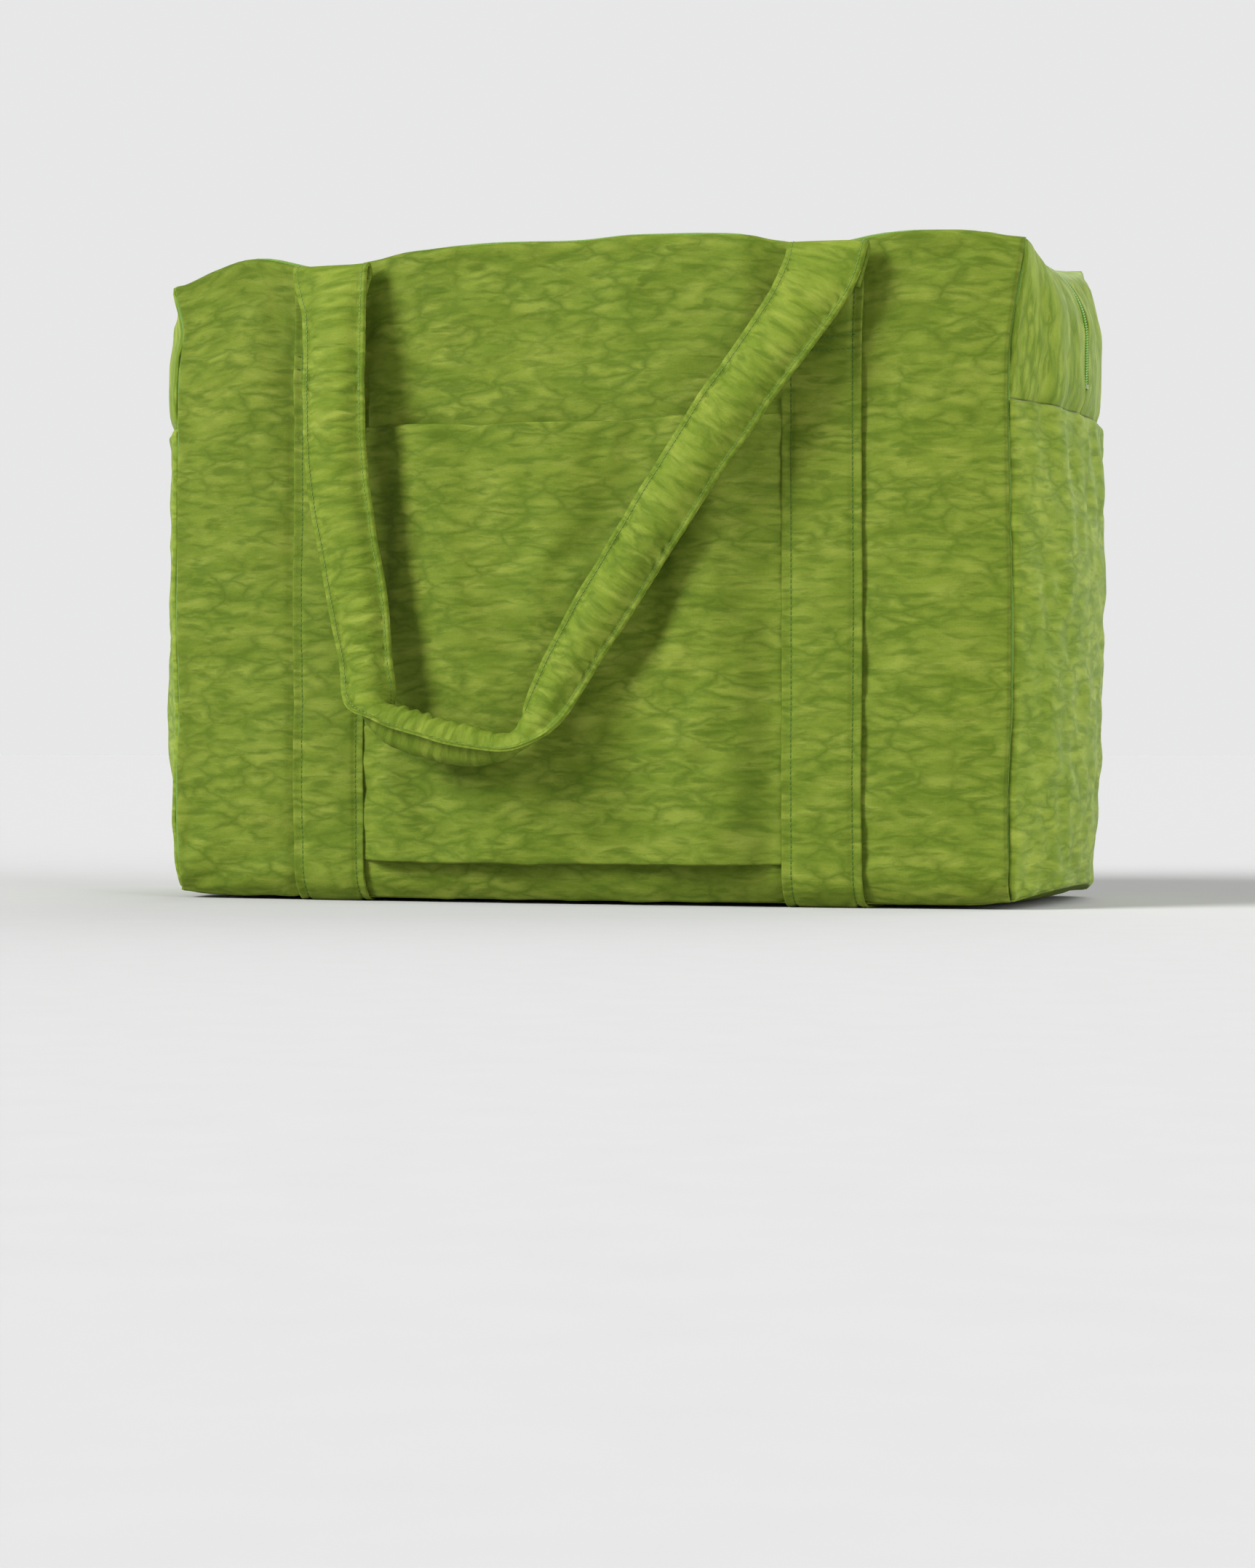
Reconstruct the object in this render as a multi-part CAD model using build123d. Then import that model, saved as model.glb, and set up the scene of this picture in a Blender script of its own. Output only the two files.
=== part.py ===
"""Soft carry-on bag with a luggage strap: a rear panel that slips over a trolley handle.

Row frame, millimetres: +X along the bag's width, +Y from the rear panel to the front
panel, +Z up, origin on the resting plane under the middle of the bag. The rear panel,
with the luggage strap, faces -Y. Cloth pieces are plain closed shells in their filled
shape. The bag is sewn on four plan arcs, so every wall piece is a slice of one ring.
"""

import math
import os

from build123d import *

# ---- driving dimensions -------------------------------------------------------------
PANEL_WIDTH = 500.0  # rear and front panels, seam to seam
PANEL_HEIGHT = 365.0
GUSSET_DEPTH = 200.0  # rear seam to front seam
BOW_LONG = 14.0  # how far the filled rear and front panels stand out at mid width
BOW_SHORT = 20.0  # how far the filled side gussets stand out at mid depth
CLOTH = 1.2  # shell that stands for the nylon and its seam allowances
RUN_GAP = 0.4  # between pieces that move on each other

GUSSET_SEAM_Z = 275.0  # where the zip gusset is sewn to the side gusset
ZIP_END_Z = 291.0  # bartack across the zip's lower end
ZIP_HALF = 4.5  # half of the slot between the two cloth edges beside the zip
TAPE_HALF = 14.0
TAPE_THICK = 0.6
COIL_INNER = 0.6  # each coil strip runs from here ...
COIL_OUTER = 3.0  # ... to here, measured from the zip's centreline
COIL_THICK = 2.4

BAND_WIDTH = 41.0
BAND_INNER_X = 126.0
BAND_THICK = 1.6
BAND_TOP_Z = 352.0

SLEEVE_BOTTOM_Z = 25.0
SLEEVE_TOP_Z = 270.0
SLEEVE_HALF = 125.7
SLEEVE_SHOULDER = 101.0  # half of the flat stretch in front of the trolley rods
SLEEVE_GAP = 13.3  # clear depth of the channel at mid width
POCKET_SHOULDER = 108.0
POCKET_GAP = 7.0

HINGE_Z = 360.0  # the fold where each handle leaves its bands
HINGE_Y = 116.0
FOLD_RADIUS = 4.0
HANDLE_WIDTH = 39.0
HANDLE_THICK = 16.0
HANDLE_FLAT = 4.4  # thickness of the unpadded ends beside the fold
COVER_WALL = 1.4

SLIDER_LENGTH = 11.0
SLIDER_BOTTOM_Z = ZIP_END_Z + 5.0
SLIDER_HALF_WIDTH = 4.1
PLATE = 1.2

half_w = PANEL_WIDTH / 2
half_d = GUSSET_DEPTH / 2
floor_z = BAND_THICK  # the base panel lies on the two bands
inner_d = half_d - CLOTH
side_x = half_w + BOW_SHORT  # outer face of a side gusset at mid depth
rear_y = half_d + BOW_LONG  # outer face of the rear panel at mid width
BIG = 1000.0


# ---- helpers ------------------------------------------------------------------------
def box(x0, x1, y0, y1, z0, z1):
    """An axis-aligned box between two corners."""
    centre = ((x0 + x1) / 2, (y0 + y1) / 2, (z0 + z1) / 2)
    return Pos(*centre) * Box(abs(x1 - x0), abs(y1 - y0), abs(z1 - z0))


def plan_face(offset=0.0):
    """The bag's outline seen from above, moved outwards by offset: four shallow arcs."""
    w, d = half_w + offset, half_d + offset
    edges = [
        ThreePointArc((-w, -d), (0, -d - BOW_LONG), (w, -d)),
        ThreePointArc((w, -d), (w + BOW_SHORT, 0), (w, d)),
        ThreePointArc((w, d), (0, d + BOW_LONG), (-w, d)),
        ThreePointArc((-w, d), (-w - BOW_SHORT, 0), (-w, -d)),
    ]
    return make_face(Wire(edges))


def plan_solid(offset, z0, z1):
    return Pos(0, 0, z0) * extrude(plan_face(offset), z1 - z0)


def plan_ring(outer, inner, z0, z1):
    """A wall that follows the outline, between two offsets of it."""
    return plan_solid(outer, z0, z1) - plan_solid(inner, z0 - 1, z1 + 1)


def mirror_y(shape):
    return mirror(shape, about=Plane.XZ)


def save(name, shape):
    solids = shape.solids()
    part = Compound(solids) if len(solids) > 1 else solids[0]
    export_step(part, f"parts/{name}.step")
    print(name, len(solids), round(part.volume))


# ---- bag shell ----------------------------------------------------------------------
def rear_panel():
    wall = plan_ring(0, -CLOTH, floor_z, PANEL_HEIGHT)
    return wall & box(-BIG, BIG, -BIG, -inner_d, 0, BIG)


def side_gusset(side):
    """The lower side panel, from the base up to the gusset seam."""
    wall = plan_ring(0, -CLOTH, floor_z, GUSSET_SEAM_Z)
    return wall & box(0, side * BIG, -inner_d, inner_d, 0, BIG)


def zip_drop(side):
    """Rear half of the zip gusset where it comes down the side of the bag."""
    wall = plan_ring(0, -CLOTH, GUSSET_SEAM_Z, PANEL_HEIGHT)
    upper = box(0, side * BIG, -inner_d, -ZIP_HALF, GUSSET_SEAM_Z, BIG)
    sewn = box(0, side * BIG, -ZIP_HALF, 0, GUSSET_SEAM_Z, ZIP_END_Z - 2)
    return wall & (upper + sewn)


def zip_flap():
    """Rear half of the zip gusset across the top, which folds back when the bag opens."""
    lid = plan_solid(-CLOTH - RUN_GAP, PANEL_HEIGHT - CLOTH, PANEL_HEIGHT)
    return lid & box(-BIG, BIG, -BIG, -ZIP_HALF, 0, BIG)


def base_panel():
    return plan_solid(-CLOTH, floor_z, floor_z + CLOTH)


def seam_binding():
    """Bias tape over the seam allowance, all round the inside of the rear panel."""
    tape_wide, inset = 10.0, CLOTH + 0.1
    low, high = floor_z + CLOTH + 0.2, PANEL_HEIGHT - CLOTH - RUN_GAP
    wall = plan_ring(-inset, -inset - CLOTH, low, high) & box(-BIG, BIG, -BIG, -inner_d + 3, 0, BIG)
    window = box(
        -half_w + tape_wide, half_w - tape_wide, -BIG, 0, low + tape_wide, high - tape_wide
    )
    return wall - window


# ---- zip ----------------------------------------------------------------------------
zip_low = ZIP_END_Z + 1.5
zip_high = PANEL_HEIGHT - CLOTH - RUN_GAP
tape_x = side_x - CLOTH - 0.5  # outer face of the tape, just inside the cloth
coil_x = tape_x + (COIL_THICK - TAPE_THICK) / 2
flap_end = half_w - CLOTH - 2.0


def side_tape(side):
    """Both tapes of the zip's side run, with a slot for the coil and the slider."""
    high = zip_high - 3
    outer = side * tape_x
    inner = side * (tape_x - TAPE_THICK)
    tape = box(inner, outer, -TAPE_HALF, TAPE_HALF, GUSSET_SEAM_Z + 2, high)
    slot_half = COIL_OUTER + 0.1
    return tape - box(inner - side, outer + side, -slot_half, slot_half, zip_low - 1, high + 1)


def side_coil(side):
    """The side run's two coil strips, joined at the zip's lower end by the bottom stop."""
    outer, inner = side * coil_x, side * (coil_x - COIL_THICK)
    coil = box(inner, outer, -COIL_OUTER, COIL_OUTER, zip_low, zip_low + 1.8)
    for s in (-1, 1):
        coil += box(inner, outer, s * COIL_INNER, s * COIL_OUTER, zip_low, zip_high)
    return coil


def flap_tape():
    top = PANEL_HEIGHT - CLOTH - 0.1
    return box(-flap_end, flap_end, -TAPE_HALF, -COIL_OUTER - 0.1, top - TAPE_THICK, top)


def flap_coil():
    top = PANEL_HEIGHT + 0.4
    return box(-flap_end, flap_end, -COIL_OUTER, -COIL_INNER, top - COIL_THICK, top)


def bartack(side):
    """Dense stitching that closes the zip's lower end."""
    near, far = side * (tape_x + 0.1), side * (side_x + 0.8)
    return box(near, far, -ZIP_HALF + 0.1, ZIP_HALF - 0.1, ZIP_END_Z - 2, ZIP_END_Z + 1.3)


# ---- slider, on the left side run (-X) ----------------------------------------------
plate_x = coil_x + 0.25  # inner face of the outer plate
bridge_reach = 3.2
pull_x = plate_x + PLATE + 1.1  # the pull's hinge line
pull_z = SLIDER_BOTTOM_Z + 7.4
PULL_THICK = 1.2
PULL_LENGTH = 27.0
PULL_HALF = 3.6
PULL_BAR_RADIUS = 0.55
PULL_EYE = 7.6  # from the hinge line to the solid part of the tab


def slider():
    z0, z1 = SLIDER_BOTTOM_Z, SLIDER_BOTTOM_Z + SLIDER_LENGTH
    inner_plate_x = coil_x - COIL_THICK - 0.25
    wide = SLIDER_HALF_WIDTH
    body = box(-plate_x, -plate_x - PLATE, -wide, wide, z0, z1)
    body += box(-inner_plate_x, -inner_plate_x + PLATE, -wide, wide, z0, z1)
    body += box(-inner_plate_x + 0.5, -plate_x - 0.5, -0.35, 0.35, z0 + 1, z1 - 1)
    outer_lip, inner_lip = tape_x + 0.25, tape_x - TAPE_THICK - 0.25
    for s in (-1, 1):
        body += box(-plate_x - 0.5, -outer_lip, s * (wide - 0.8), s * wide, z0, z1)
        body += box(-inner_plate_x + 0.5, -inner_lip, s * (wide - 0.8), s * wide, z0, z1)
    corners = body.edges().filter_by(Axis.X).group_by(Axis.Z)
    body = fillet(corners[0] + corners[-1], 0.35)
    arch_x = -plate_x - PLATE
    arch = box(arch_x + 0.3, arch_x - bridge_reach, -1.0, 1.0, z0 + 1.0, z1 - 1.0)
    arch -= box(arch_x, arch_x - bridge_reach + 1.1, -2, 2, z0 + 2.2, z1 - 2.2)
    arch = fillet(arch.edges().filter_by(Axis.Y).sort_by(Axis.X)[:2], 1.0)
    return body + arch


def pull():
    """Drop-shaped tab: a bar through the slider's arch, two arms and the grip."""
    x0, x1 = -pull_x - PULL_THICK / 2, -pull_x + PULL_THICK / 2
    low = pull_z - PULL_LENGTH
    tab = box(x0, x1, -PULL_HALF, PULL_HALF, low, pull_z)
    tab = fillet(tab.edges().filter_by(Axis.X).sort_by(Axis.Z)[:2], 3.0)
    tab -= box(x0 - 1, x1 + 1, -1.7, 1.7, pull_z - PULL_EYE, pull_z + 1)
    tab -= box(x0 - 1, x1 + 1, -1.2, 1.2, low + 3.5, low + 9.0)
    for s in (-1, 1):
        tab -= box(x0 - 1, x1 + 1, s * 3.0, s * 6.0, pull_z - PULL_EYE + 1, pull_z + 1)
    bar = Pos(-pull_x, 0, pull_z) * Rot(90, 0, 0) * Cylinder(PULL_BAR_RADIUS + 0.05, 6.0)
    return tab + bar


# ---- straps, luggage strap and pocket -----------------------------------------------
def strap_band(side):
    """One reinforcing band: up the rear, under the base and up the front."""
    x0, x1 = side * BAND_INNER_X, side * (BAND_INNER_X + BAND_WIDTH)
    wall = plan_ring(BAND_THICK, 0, 0, BAND_TOP_Z) & box(x0, x1, -BIG, BIG, 0, BIG)
    under = plan_solid(BAND_THICK, 0, BAND_THICK) & box(x0, x1, -BIG, BIG, 0, BIG)
    return wall + under


def channel_outline(shoulder, gap, inset):
    """Plan polygon from the rear panel out to a patch panel, made smaller by inset."""
    slope = inset * 1.5
    front = -rear_y - gap + inset
    return [
        (-SLEEVE_HALF + slope, -half_d),
        (-shoulder + inset * 0.6, front),
        (shoulder - inset * 0.6, front),
        (SLEEVE_HALF - slope, -half_d),
    ]


def channel_solid(shoulder, gap, inset, z0, z1):
    points = channel_outline(shoulder, gap, inset)
    face = make_face(Polyline(*points, close=True))
    return Pos(0, 0, z0) * extrude(face, z1 - z0)


def luggage_strap():
    """The panel across the rear that slips over the trolley handle, open top and bottom."""
    outer = channel_solid(SLEEVE_SHOULDER, SLEEVE_GAP + CLOTH, 0, SLEEVE_BOTTOM_Z, SLEEVE_TOP_Z)
    inner = channel_solid(SLEEVE_SHOULDER, SLEEVE_GAP + CLOTH, CLOTH, 0, BIG)
    return outer - inner - plan_solid(0, 0, BIG)


def front_pocket():
    """Slip pocket between the front bands, closed at its lower edge."""
    outer = channel_solid(POCKET_SHOULDER, POCKET_GAP + CLOTH, 0, SLEEVE_BOTTOM_Z, SLEEVE_TOP_Z)
    inner = channel_solid(POCKET_SHOULDER, POCKET_GAP + CLOTH, CLOTH, SLEEVE_BOTTOM_Z + CLOTH, BIG)
    return mirror_y(outer - inner - plan_solid(0, 0, BIG))


# ---- handles ------------------------------------------------------------------------
# Route of the rear handle as it hangs: centre x, y, z, then how far the strap has
# turned from lying flat on the panel (0) to standing edge-on (90 degrees).
HANDLE_ROUTE = [
    (-146.0, -118.2, 352.0, 0),
    (-146.0, -121.5, 330.0, 0),
    (-143.0, -131.0, 300.0, 0),
    (-137.0, -138.8, 264.0, 0),
    (-131.0, -138.8, 205.0, 0),
    (-124.0, -139.5, 156.0, 5),
    (-115.0, -148.0, 125.0, 40),
    (-98.0, -149.5, 103.0, 90),
    (-68.0, -149.5, 93.0, 90),
    (-40.0, -149.5, 90.0, 90),
    (-18.0, -150.5, 98.0, 75),
    (0.0, -144.5, 124.0, 20),
    (20.0, -138.8, 156.0, 0),
    (52.0, -138.8, 202.0, 0),
    (84.0, -138.8, 248.0, 0),
    (112.0, -137.4, 290.0, 0),
    (133.0, -128.0, 318.0, 0),
    (146.0, -121.0, 336.0, 0),
    (146.0, -118.2, 352.0, 0),
]
FLAT_STATIONS = 2  # stations at each end that carry no padding


def handle_sections(shrink):
    """Chamfered rectangles along the route, made smaller all round by shrink."""
    points = [Vector(*p[:3]) for p in HANDLE_ROUTE]
    last = len(points) - 1
    sections = []
    for i, (point, row) in enumerate(zip(points, HANDLE_ROUTE)):
        along = (points[min(i + 1, last)] - points[max(i - 1, 0)]).normalized()
        if i in (0, last):
            along = Vector(0, 0, -1 if i == 0 else 1)
        flat = along.cross(Vector(0, 1, 0)).normalized()
        face_out = flat.cross(along).normalized()
        turn = math.radians(row[3])
        wide = flat * math.cos(turn) + face_out * math.sin(turn)
        deep = along.cross(wide).normalized()
        from_end = min(i, last - i)
        thick = (HANDLE_FLAT, 9.0)[from_end] if from_end < FLAT_STATIONS else HANDLE_THICK
        a, b = HANDLE_WIDTH / 2 - shrink, thick / 2 - shrink
        cut_a, cut_b = min(7.0, a / 2), b * 0.55
        ring = [(a, b - cut_b), (a - cut_a, b), (-a + cut_a, b), (-a, b - cut_b)]
        ring += [(-u, -v) for u, v in ring]
        corners = [point + wide * u + deep * v for u, v in ring]
        sections.append(make_face(Polyline(*corners, close=True)))
    return sections


def handle_foam():
    """The foam tube sewn into the padded part of a handle."""
    padded = handle_sections(COVER_WALL)[FLAT_STATIONS:-FLAT_STATIONS]
    return loft(padded, ruled=True)


def handle_cover(foam):
    """The padded handle's sleeve of cloth, with a rolled fold at each end."""
    cover = loft(handle_sections(0), ruled=True) - foam
    for side in (-1, 1):
        fold = Pos(side * 146, -HINGE_Y, HINGE_Z) * Rot(0, 90, 0)
        cover += fold * Cylinder(FOLD_RADIUS, HANDLE_WIDTH)
        cover += box(
            side * 146 - HANDLE_WIDTH / 2,
            side * 146 + HANDLE_WIDTH / 2,
            -118.2 - HANDLE_FLAT / 2,
            -118.2 + HANDLE_FLAT / 2 - 0.6,
            352.0,
            HINGE_Z,
        )
    return cover


def main():
    os.makedirs("parts", exist_ok=True)
    rear = rear_panel()
    save("rear_panel", rear)
    save("front_panel", mirror_y(rear))
    save("base_panel", base_panel())
    flap, tape, coil = zip_flap(), flap_tape(), flap_coil()
    save("zip_flap_rear", flap)
    save("zip_flap_front", mirror_y(flap))
    save("flap_tape_rear", tape)
    save("flap_tape_front", mirror_y(tape))
    save("flap_coil_rear", coil)
    save("flap_coil_front", mirror_y(coil))
    binding = seam_binding()
    save("seam_binding_rear", binding)
    save("seam_binding_front", mirror_y(binding))
    for name, side in (("left", -1), ("right", 1)):
        save(f"side_gusset_{name}", side_gusset(side))
        drop = zip_drop(side)
        save(f"zip_gusset_{name}_rear", drop)
        save(f"zip_gusset_{name}_front", mirror_y(drop))
        save(f"zip_tape_{name}", side_tape(side))
        save(f"zip_coil_{name}", side_coil(side))
        save(f"zip_bartack_{name}", bartack(side))
        save(f"strap_band_{name}", strap_band(side))
    save("zip_slider", slider())
    save("zip_pull", pull())
    save("luggage_strap_panel", luggage_strap())
    save("front_pocket_panel", front_pocket())
    foam = handle_foam()
    cover = handle_cover(foam)
    save("rear_handle_foam", foam)
    save("rear_handle_cover", cover)
    save("front_handle_foam", mirror_y(foam))
    save("front_handle_cover", mirror_y(cover))


main()
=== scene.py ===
"""Looks for the carry-on bag with a luggage strap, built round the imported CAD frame.

Lengths in this file are millimetres until a mesh is made. The bag's cloth is one closed
grid (rear panel, front panel and the gusset that runs round between them). It is blown up
by the cloth solver between its seams, cut along them into the real panels, and each panel
is then given its seam, pucker and hem. Everything sewn on follows the same grids.
"""

import math

import bpy
import numpy as np
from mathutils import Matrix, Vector


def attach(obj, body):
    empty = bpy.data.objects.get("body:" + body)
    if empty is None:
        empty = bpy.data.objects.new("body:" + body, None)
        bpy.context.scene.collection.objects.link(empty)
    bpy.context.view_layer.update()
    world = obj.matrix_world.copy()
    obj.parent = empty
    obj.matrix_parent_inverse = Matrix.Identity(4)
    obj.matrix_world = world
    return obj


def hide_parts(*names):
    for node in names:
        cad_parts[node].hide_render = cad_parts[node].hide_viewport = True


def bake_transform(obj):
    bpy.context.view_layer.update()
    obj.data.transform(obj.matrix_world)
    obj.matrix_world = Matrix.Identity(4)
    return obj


MM = 0.001
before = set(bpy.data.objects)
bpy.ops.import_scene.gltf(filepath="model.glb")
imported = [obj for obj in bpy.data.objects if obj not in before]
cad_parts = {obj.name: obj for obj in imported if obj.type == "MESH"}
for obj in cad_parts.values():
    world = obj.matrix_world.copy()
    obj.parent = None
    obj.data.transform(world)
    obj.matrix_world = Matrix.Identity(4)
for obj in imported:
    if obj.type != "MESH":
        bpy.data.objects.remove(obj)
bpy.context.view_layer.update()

# ---- sizes shared with the CAD model --------------------------------------------------
HALF_W, HEIGHT, HALF_D = 250.0, 365.0, 100.0
BOW_LONG, BOW_SHORT = 14.0, 20.0  # how far the panels and the gusset's ends bow out
SEAM_Z = 275.0  # height of the seam across the gusset
ZIP_END = 291.0  # height of the zip's closed ends
ZIP_HALF = 4.5  # half of the gap that the coil fills
BAND_IN, BAND_OUT = 126.0, 167.0
BAND_MID = (BAND_IN + BAND_OUT) / 2
FLOOR_Z = 1.6  # how far the base cloth starts above the floor
HINGE_Y = 116.0  # the handles' hinges lie this far out from the middle
Y_AXIS = np.array([0.0, 1.0, 0.0])
SIDES = {1: "right", -1: "left"}
HALVES = {False: "rear", True: "front"}


# ---- number helpers -------------------------------------------------------------------
def ease(t):
    """0 below 0, 1 above 1, and a smooth step between them."""
    t = np.clip(t, 0.0, 1.0)
    return t * t * (3 - 2 * t)


def bell(d, width):
    """1 where d is 0, falling off on both sides; 0.37 at width."""
    return np.exp(-((d / width) ** 2))


def fade(d, reach):
    """1 where d is 0, falling off with distance; 0.37 at reach."""
    return np.exp(-d / reach)


def lattice(ix, iy, iz, seed):
    """A fixed pseudo-random number from -1 to 1 for each lattice point."""
    with np.errstate(over="ignore"):  # the products wrap round on purpose
        n = (ix * 73856093) ^ (iy * 19349663) ^ (iz * 83492791) ^ (seed * 2654435761)
        n = (n ^ (n >> 13)) * 1274126177
    return ((n ^ (n >> 16)) & 0xFFFF) / 32767.5 - 1.0


def noise(x, y, z=0.0, seed=0):
    """Smooth noise, about -1 to 1, one lattice cell per unit."""
    x, y, z = np.broadcast_arrays(np.asarray(x, float), y, z)
    ix, iy, iz = (np.floor(c).astype(np.int64) for c in (x, y, z))
    fx, fy, fz = ease(x - ix), ease(y - iy), ease(z - iz)
    total = np.zeros_like(x)
    for dx in (0, 1):
        for dy in (0, 1):
            for dz in (0, 1):
                share = (fx if dx else 1 - fx) * (fy if dy else 1 - fy) * (fz if dz else 1 - fz)
                total += share * lattice(ix + dx, iy + dy, iz + dz, seed)
    return total


def fbm(x, y, z=0.0, seed=0, octaves=3):
    """Noise with finer and weaker noise added on top of it."""
    x, y = np.asarray(x, float), np.asarray(y, float)
    return sum(noise(x * 2**k, y * 2**k, z * 2**k, seed + k) / 2**k for k in range(octaves))


def spline_rows(old, new, wrap=False):
    """Matrix that turns old samples into values at fractional indices new (Catmull-Rom)."""
    rows = np.zeros((len(new), old))
    for r, t in enumerate(new):
        i = int(math.floor(t)) if wrap else min(int(math.floor(t)), old - 2)
        f = t - i
        weights = (
            -0.5 * f + f * f - 0.5 * f**3,
            1 - 2.5 * f * f + 1.5 * f**3,
            0.5 * f + 2 * f * f - 1.5 * f**3,
            -0.5 * f * f + 0.5 * f**3,
        )
        for k, w in zip((i - 1, i, i + 1, i + 2), weights):
            if wrap:
                rows[r, k % old] += w
            elif k < 0:
                rows[r, 0] += 2 * w
                rows[r, 1] -= w
            elif k >= old:
                rows[r, old - 1] += 2 * w
                rows[r, old - 2] -= w
            else:
                rows[r, k] += w
    return rows


def resample(grid, u, v, wrap_v=False):
    """The grid's points at fractional indices u and v."""
    rows, columns = spline_rows(grid.shape[0], u), spline_rows(grid.shape[1], v, wrap_v)
    return np.einsum("ai,bj,ijk->abk", rows, columns, grid)


def travelled(points):
    """Distance from the first point of a line to each of its points."""
    steps = np.linalg.norm(np.diff(points, axis=0), axis=1)
    return np.concatenate([[0], np.cumsum(steps)])


def unit(a):
    return a / np.maximum(np.linalg.norm(a, axis=-1, keepdims=True), 1e-9)


def normals(grid, flip=False, wrap_v=False):
    """Unit normals of a grid: along u crossed with along v."""
    du = np.gradient(grid, axis=0)
    if wrap_v:
        dv = np.roll(grid, -1, axis=1) - np.roll(grid, 1, axis=1)
    else:
        dv = np.gradient(grid, axis=1)
    n = unit(np.cross(du, dv))
    return -n if flip else n


# ---- mesh helpers ---------------------------------------------------------------------
def new_mesh(name, verts, faces, uvs=None, smooth=True):
    """Mesh object from millimetre points. uvs is one (u, v) in metres for each vertex."""
    mesh = bpy.data.meshes.new(name)
    mesh.from_pydata((np.asarray(verts) * MM).tolist(), [], [list(map(int, f)) for f in faces])
    if uvs is not None:
        layer = mesh.uv_layers.new(name="cloth")
        index = np.zeros(len(mesh.loops), np.int32)
        mesh.loops.foreach_get("vertex_index", index)
        layer.data.foreach_set("uv", np.asarray(uvs, float)[index].ravel())
    mesh.polygons.foreach_set("use_smooth", np.full(len(mesh.polygons), smooth))
    mesh.update()
    obj = bpy.data.objects.new(name, mesh)
    bpy.context.scene.collection.objects.link(obj)
    return obj


def quads(nu, nv, start=0, flip=False, wrap_v=False):
    """Four-sided faces of a grid whose first vertex is number start."""
    i, j = np.meshgrid(np.arange(nu - 1), np.arange(nv if wrap_v else nv - 1), indexing="ij")
    i, j = i.ravel(), j.ravel()
    k = (j + 1) % nv
    faces = np.stack([i * nv + j, (i + 1) * nv + j, (i + 1) * nv + k, i * nv + k], 1) + start
    return faces[:, ::-1] if flip else faces


def grid_lengths(grid):
    """Cloth coordinates in metres: how far each point lies along u and along v."""
    du = np.linalg.norm(np.diff(grid, axis=0), axis=2).mean(1)
    dv = np.linalg.norm(np.diff(grid, axis=1), axis=2).mean(0)
    u = np.concatenate([[0], np.cumsum(du)]) * MM
    v = np.concatenate([[0], np.cumsum(dv)]) * MM
    return np.stack(np.meshgrid(u, v, indexing="ij"), -1)


def border(grid):
    """The grid's edge as one loop: along u, up v, back along u and down v."""
    return np.concatenate([grid[:, 0], grid[-1, 1:], grid[-2::-1, -1], grid[0, -2:0:-1]])


def shell(name, grid, thick, flip=False, uv=None, shift=(0.0, 0.0)):
    """A closed piece of cloth: the outer grid, an inner one thick below it, and hems."""
    nu, nv = grid.shape[:2]
    inner = grid - normals(grid, flip) * thick
    uv = (grid_lengths(grid) if uv is None else uv) + np.array(shift)
    verts = np.concatenate([grid.reshape(-1, 3), inner.reshape(-1, 3)])
    uvs = np.concatenate([uv.reshape(-1, 2), uv.reshape(-1, 2)])
    n = nu * nv
    faces = [quads(nu, nv, 0, flip), quads(nu, nv, n, not flip)]
    rim = border(np.arange(n).reshape(nu, nv).T)
    nxt = np.roll(rim, -1)
    edge = np.stack([rim, nxt, nxt + n, rim + n], 1)
    faces.append(edge[:, ::-1] if flip else edge)
    return new_mesh(name, verts, np.concatenate(faces), uvs)


def inflate(name, verts, faces, pin, slack, pressure, frames, cap, bend=0.4, gravity=0.0):
    """Runs the cloth solver on a mesh and returns its new points.

    pin holds a point in place (1) or lets it go (0). slack is how much longer each bit of
    cloth is cut than the shape it starts from. cap is the furthest a point may move.
    """
    verts = np.asarray(verts, float)
    obj = new_mesh(name, verts, faces)
    for label, weights in (("pin", pin), ("slack", np.asarray(slack) / 0.1)):
        group = obj.vertex_groups.new(name=label)
        for level in np.unique(np.round(weights, 2)):
            members = np.nonzero(np.round(weights, 2) == level)[0]
            group.add(members.tolist(), float(level), "REPLACE")
    cloth = obj.modifiers.new("Cloth", "CLOTH")
    s = cloth.settings
    s.quality = 6
    s.mass = 0.12
    s.tension_stiffness = s.compression_stiffness = 18
    s.shear_stiffness = 8
    s.bending_stiffness = bend
    s.tension_damping = s.compression_damping = s.shear_damping = 8
    s.air_damping = 3
    s.vertex_group_mass = "pin"
    s.pin_stiffness = 4
    s.vertex_group_shrink = "slack"
    s.shrink_min = 0.0
    s.shrink_max = -0.1
    s.use_pressure = True
    s.uniform_pressure_force = pressure
    s.effector_weights.gravity = gravity
    cloth.collision_settings.use_collision = False
    cloth.point_cache.frame_start, cloth.point_cache.frame_end = 1, frames
    scene = bpy.context.scene
    for step in range(1, frames + 1):
        scene.frame_set(step)
    posed = obj.evaluated_get(bpy.context.evaluated_depsgraph_get())
    points = np.zeros(len(verts) * 3, np.float32)
    posed.data.vertices.foreach_get("co", points)
    scene.frame_set(1)
    bpy.data.objects.remove(obj)
    move = points.reshape(-1, 3) / MM - verts
    size = np.linalg.norm(move, axis=1, keepdims=True)
    return verts + move * np.minimum(1, cap / np.maximum(size, 1e-9))


# ---- the bag's cloth as one closed grid -----------------------------------------------
def grid_lines(*stops):
    """Grid lines from (end position, number of cells) pairs, starting at the first stop."""
    out = [stops[0]]
    for end, cells in stops[1:]:
        out.extend(np.linspace(out[-1], end, cells + 1)[1:])
    return np.array(out)


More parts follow.
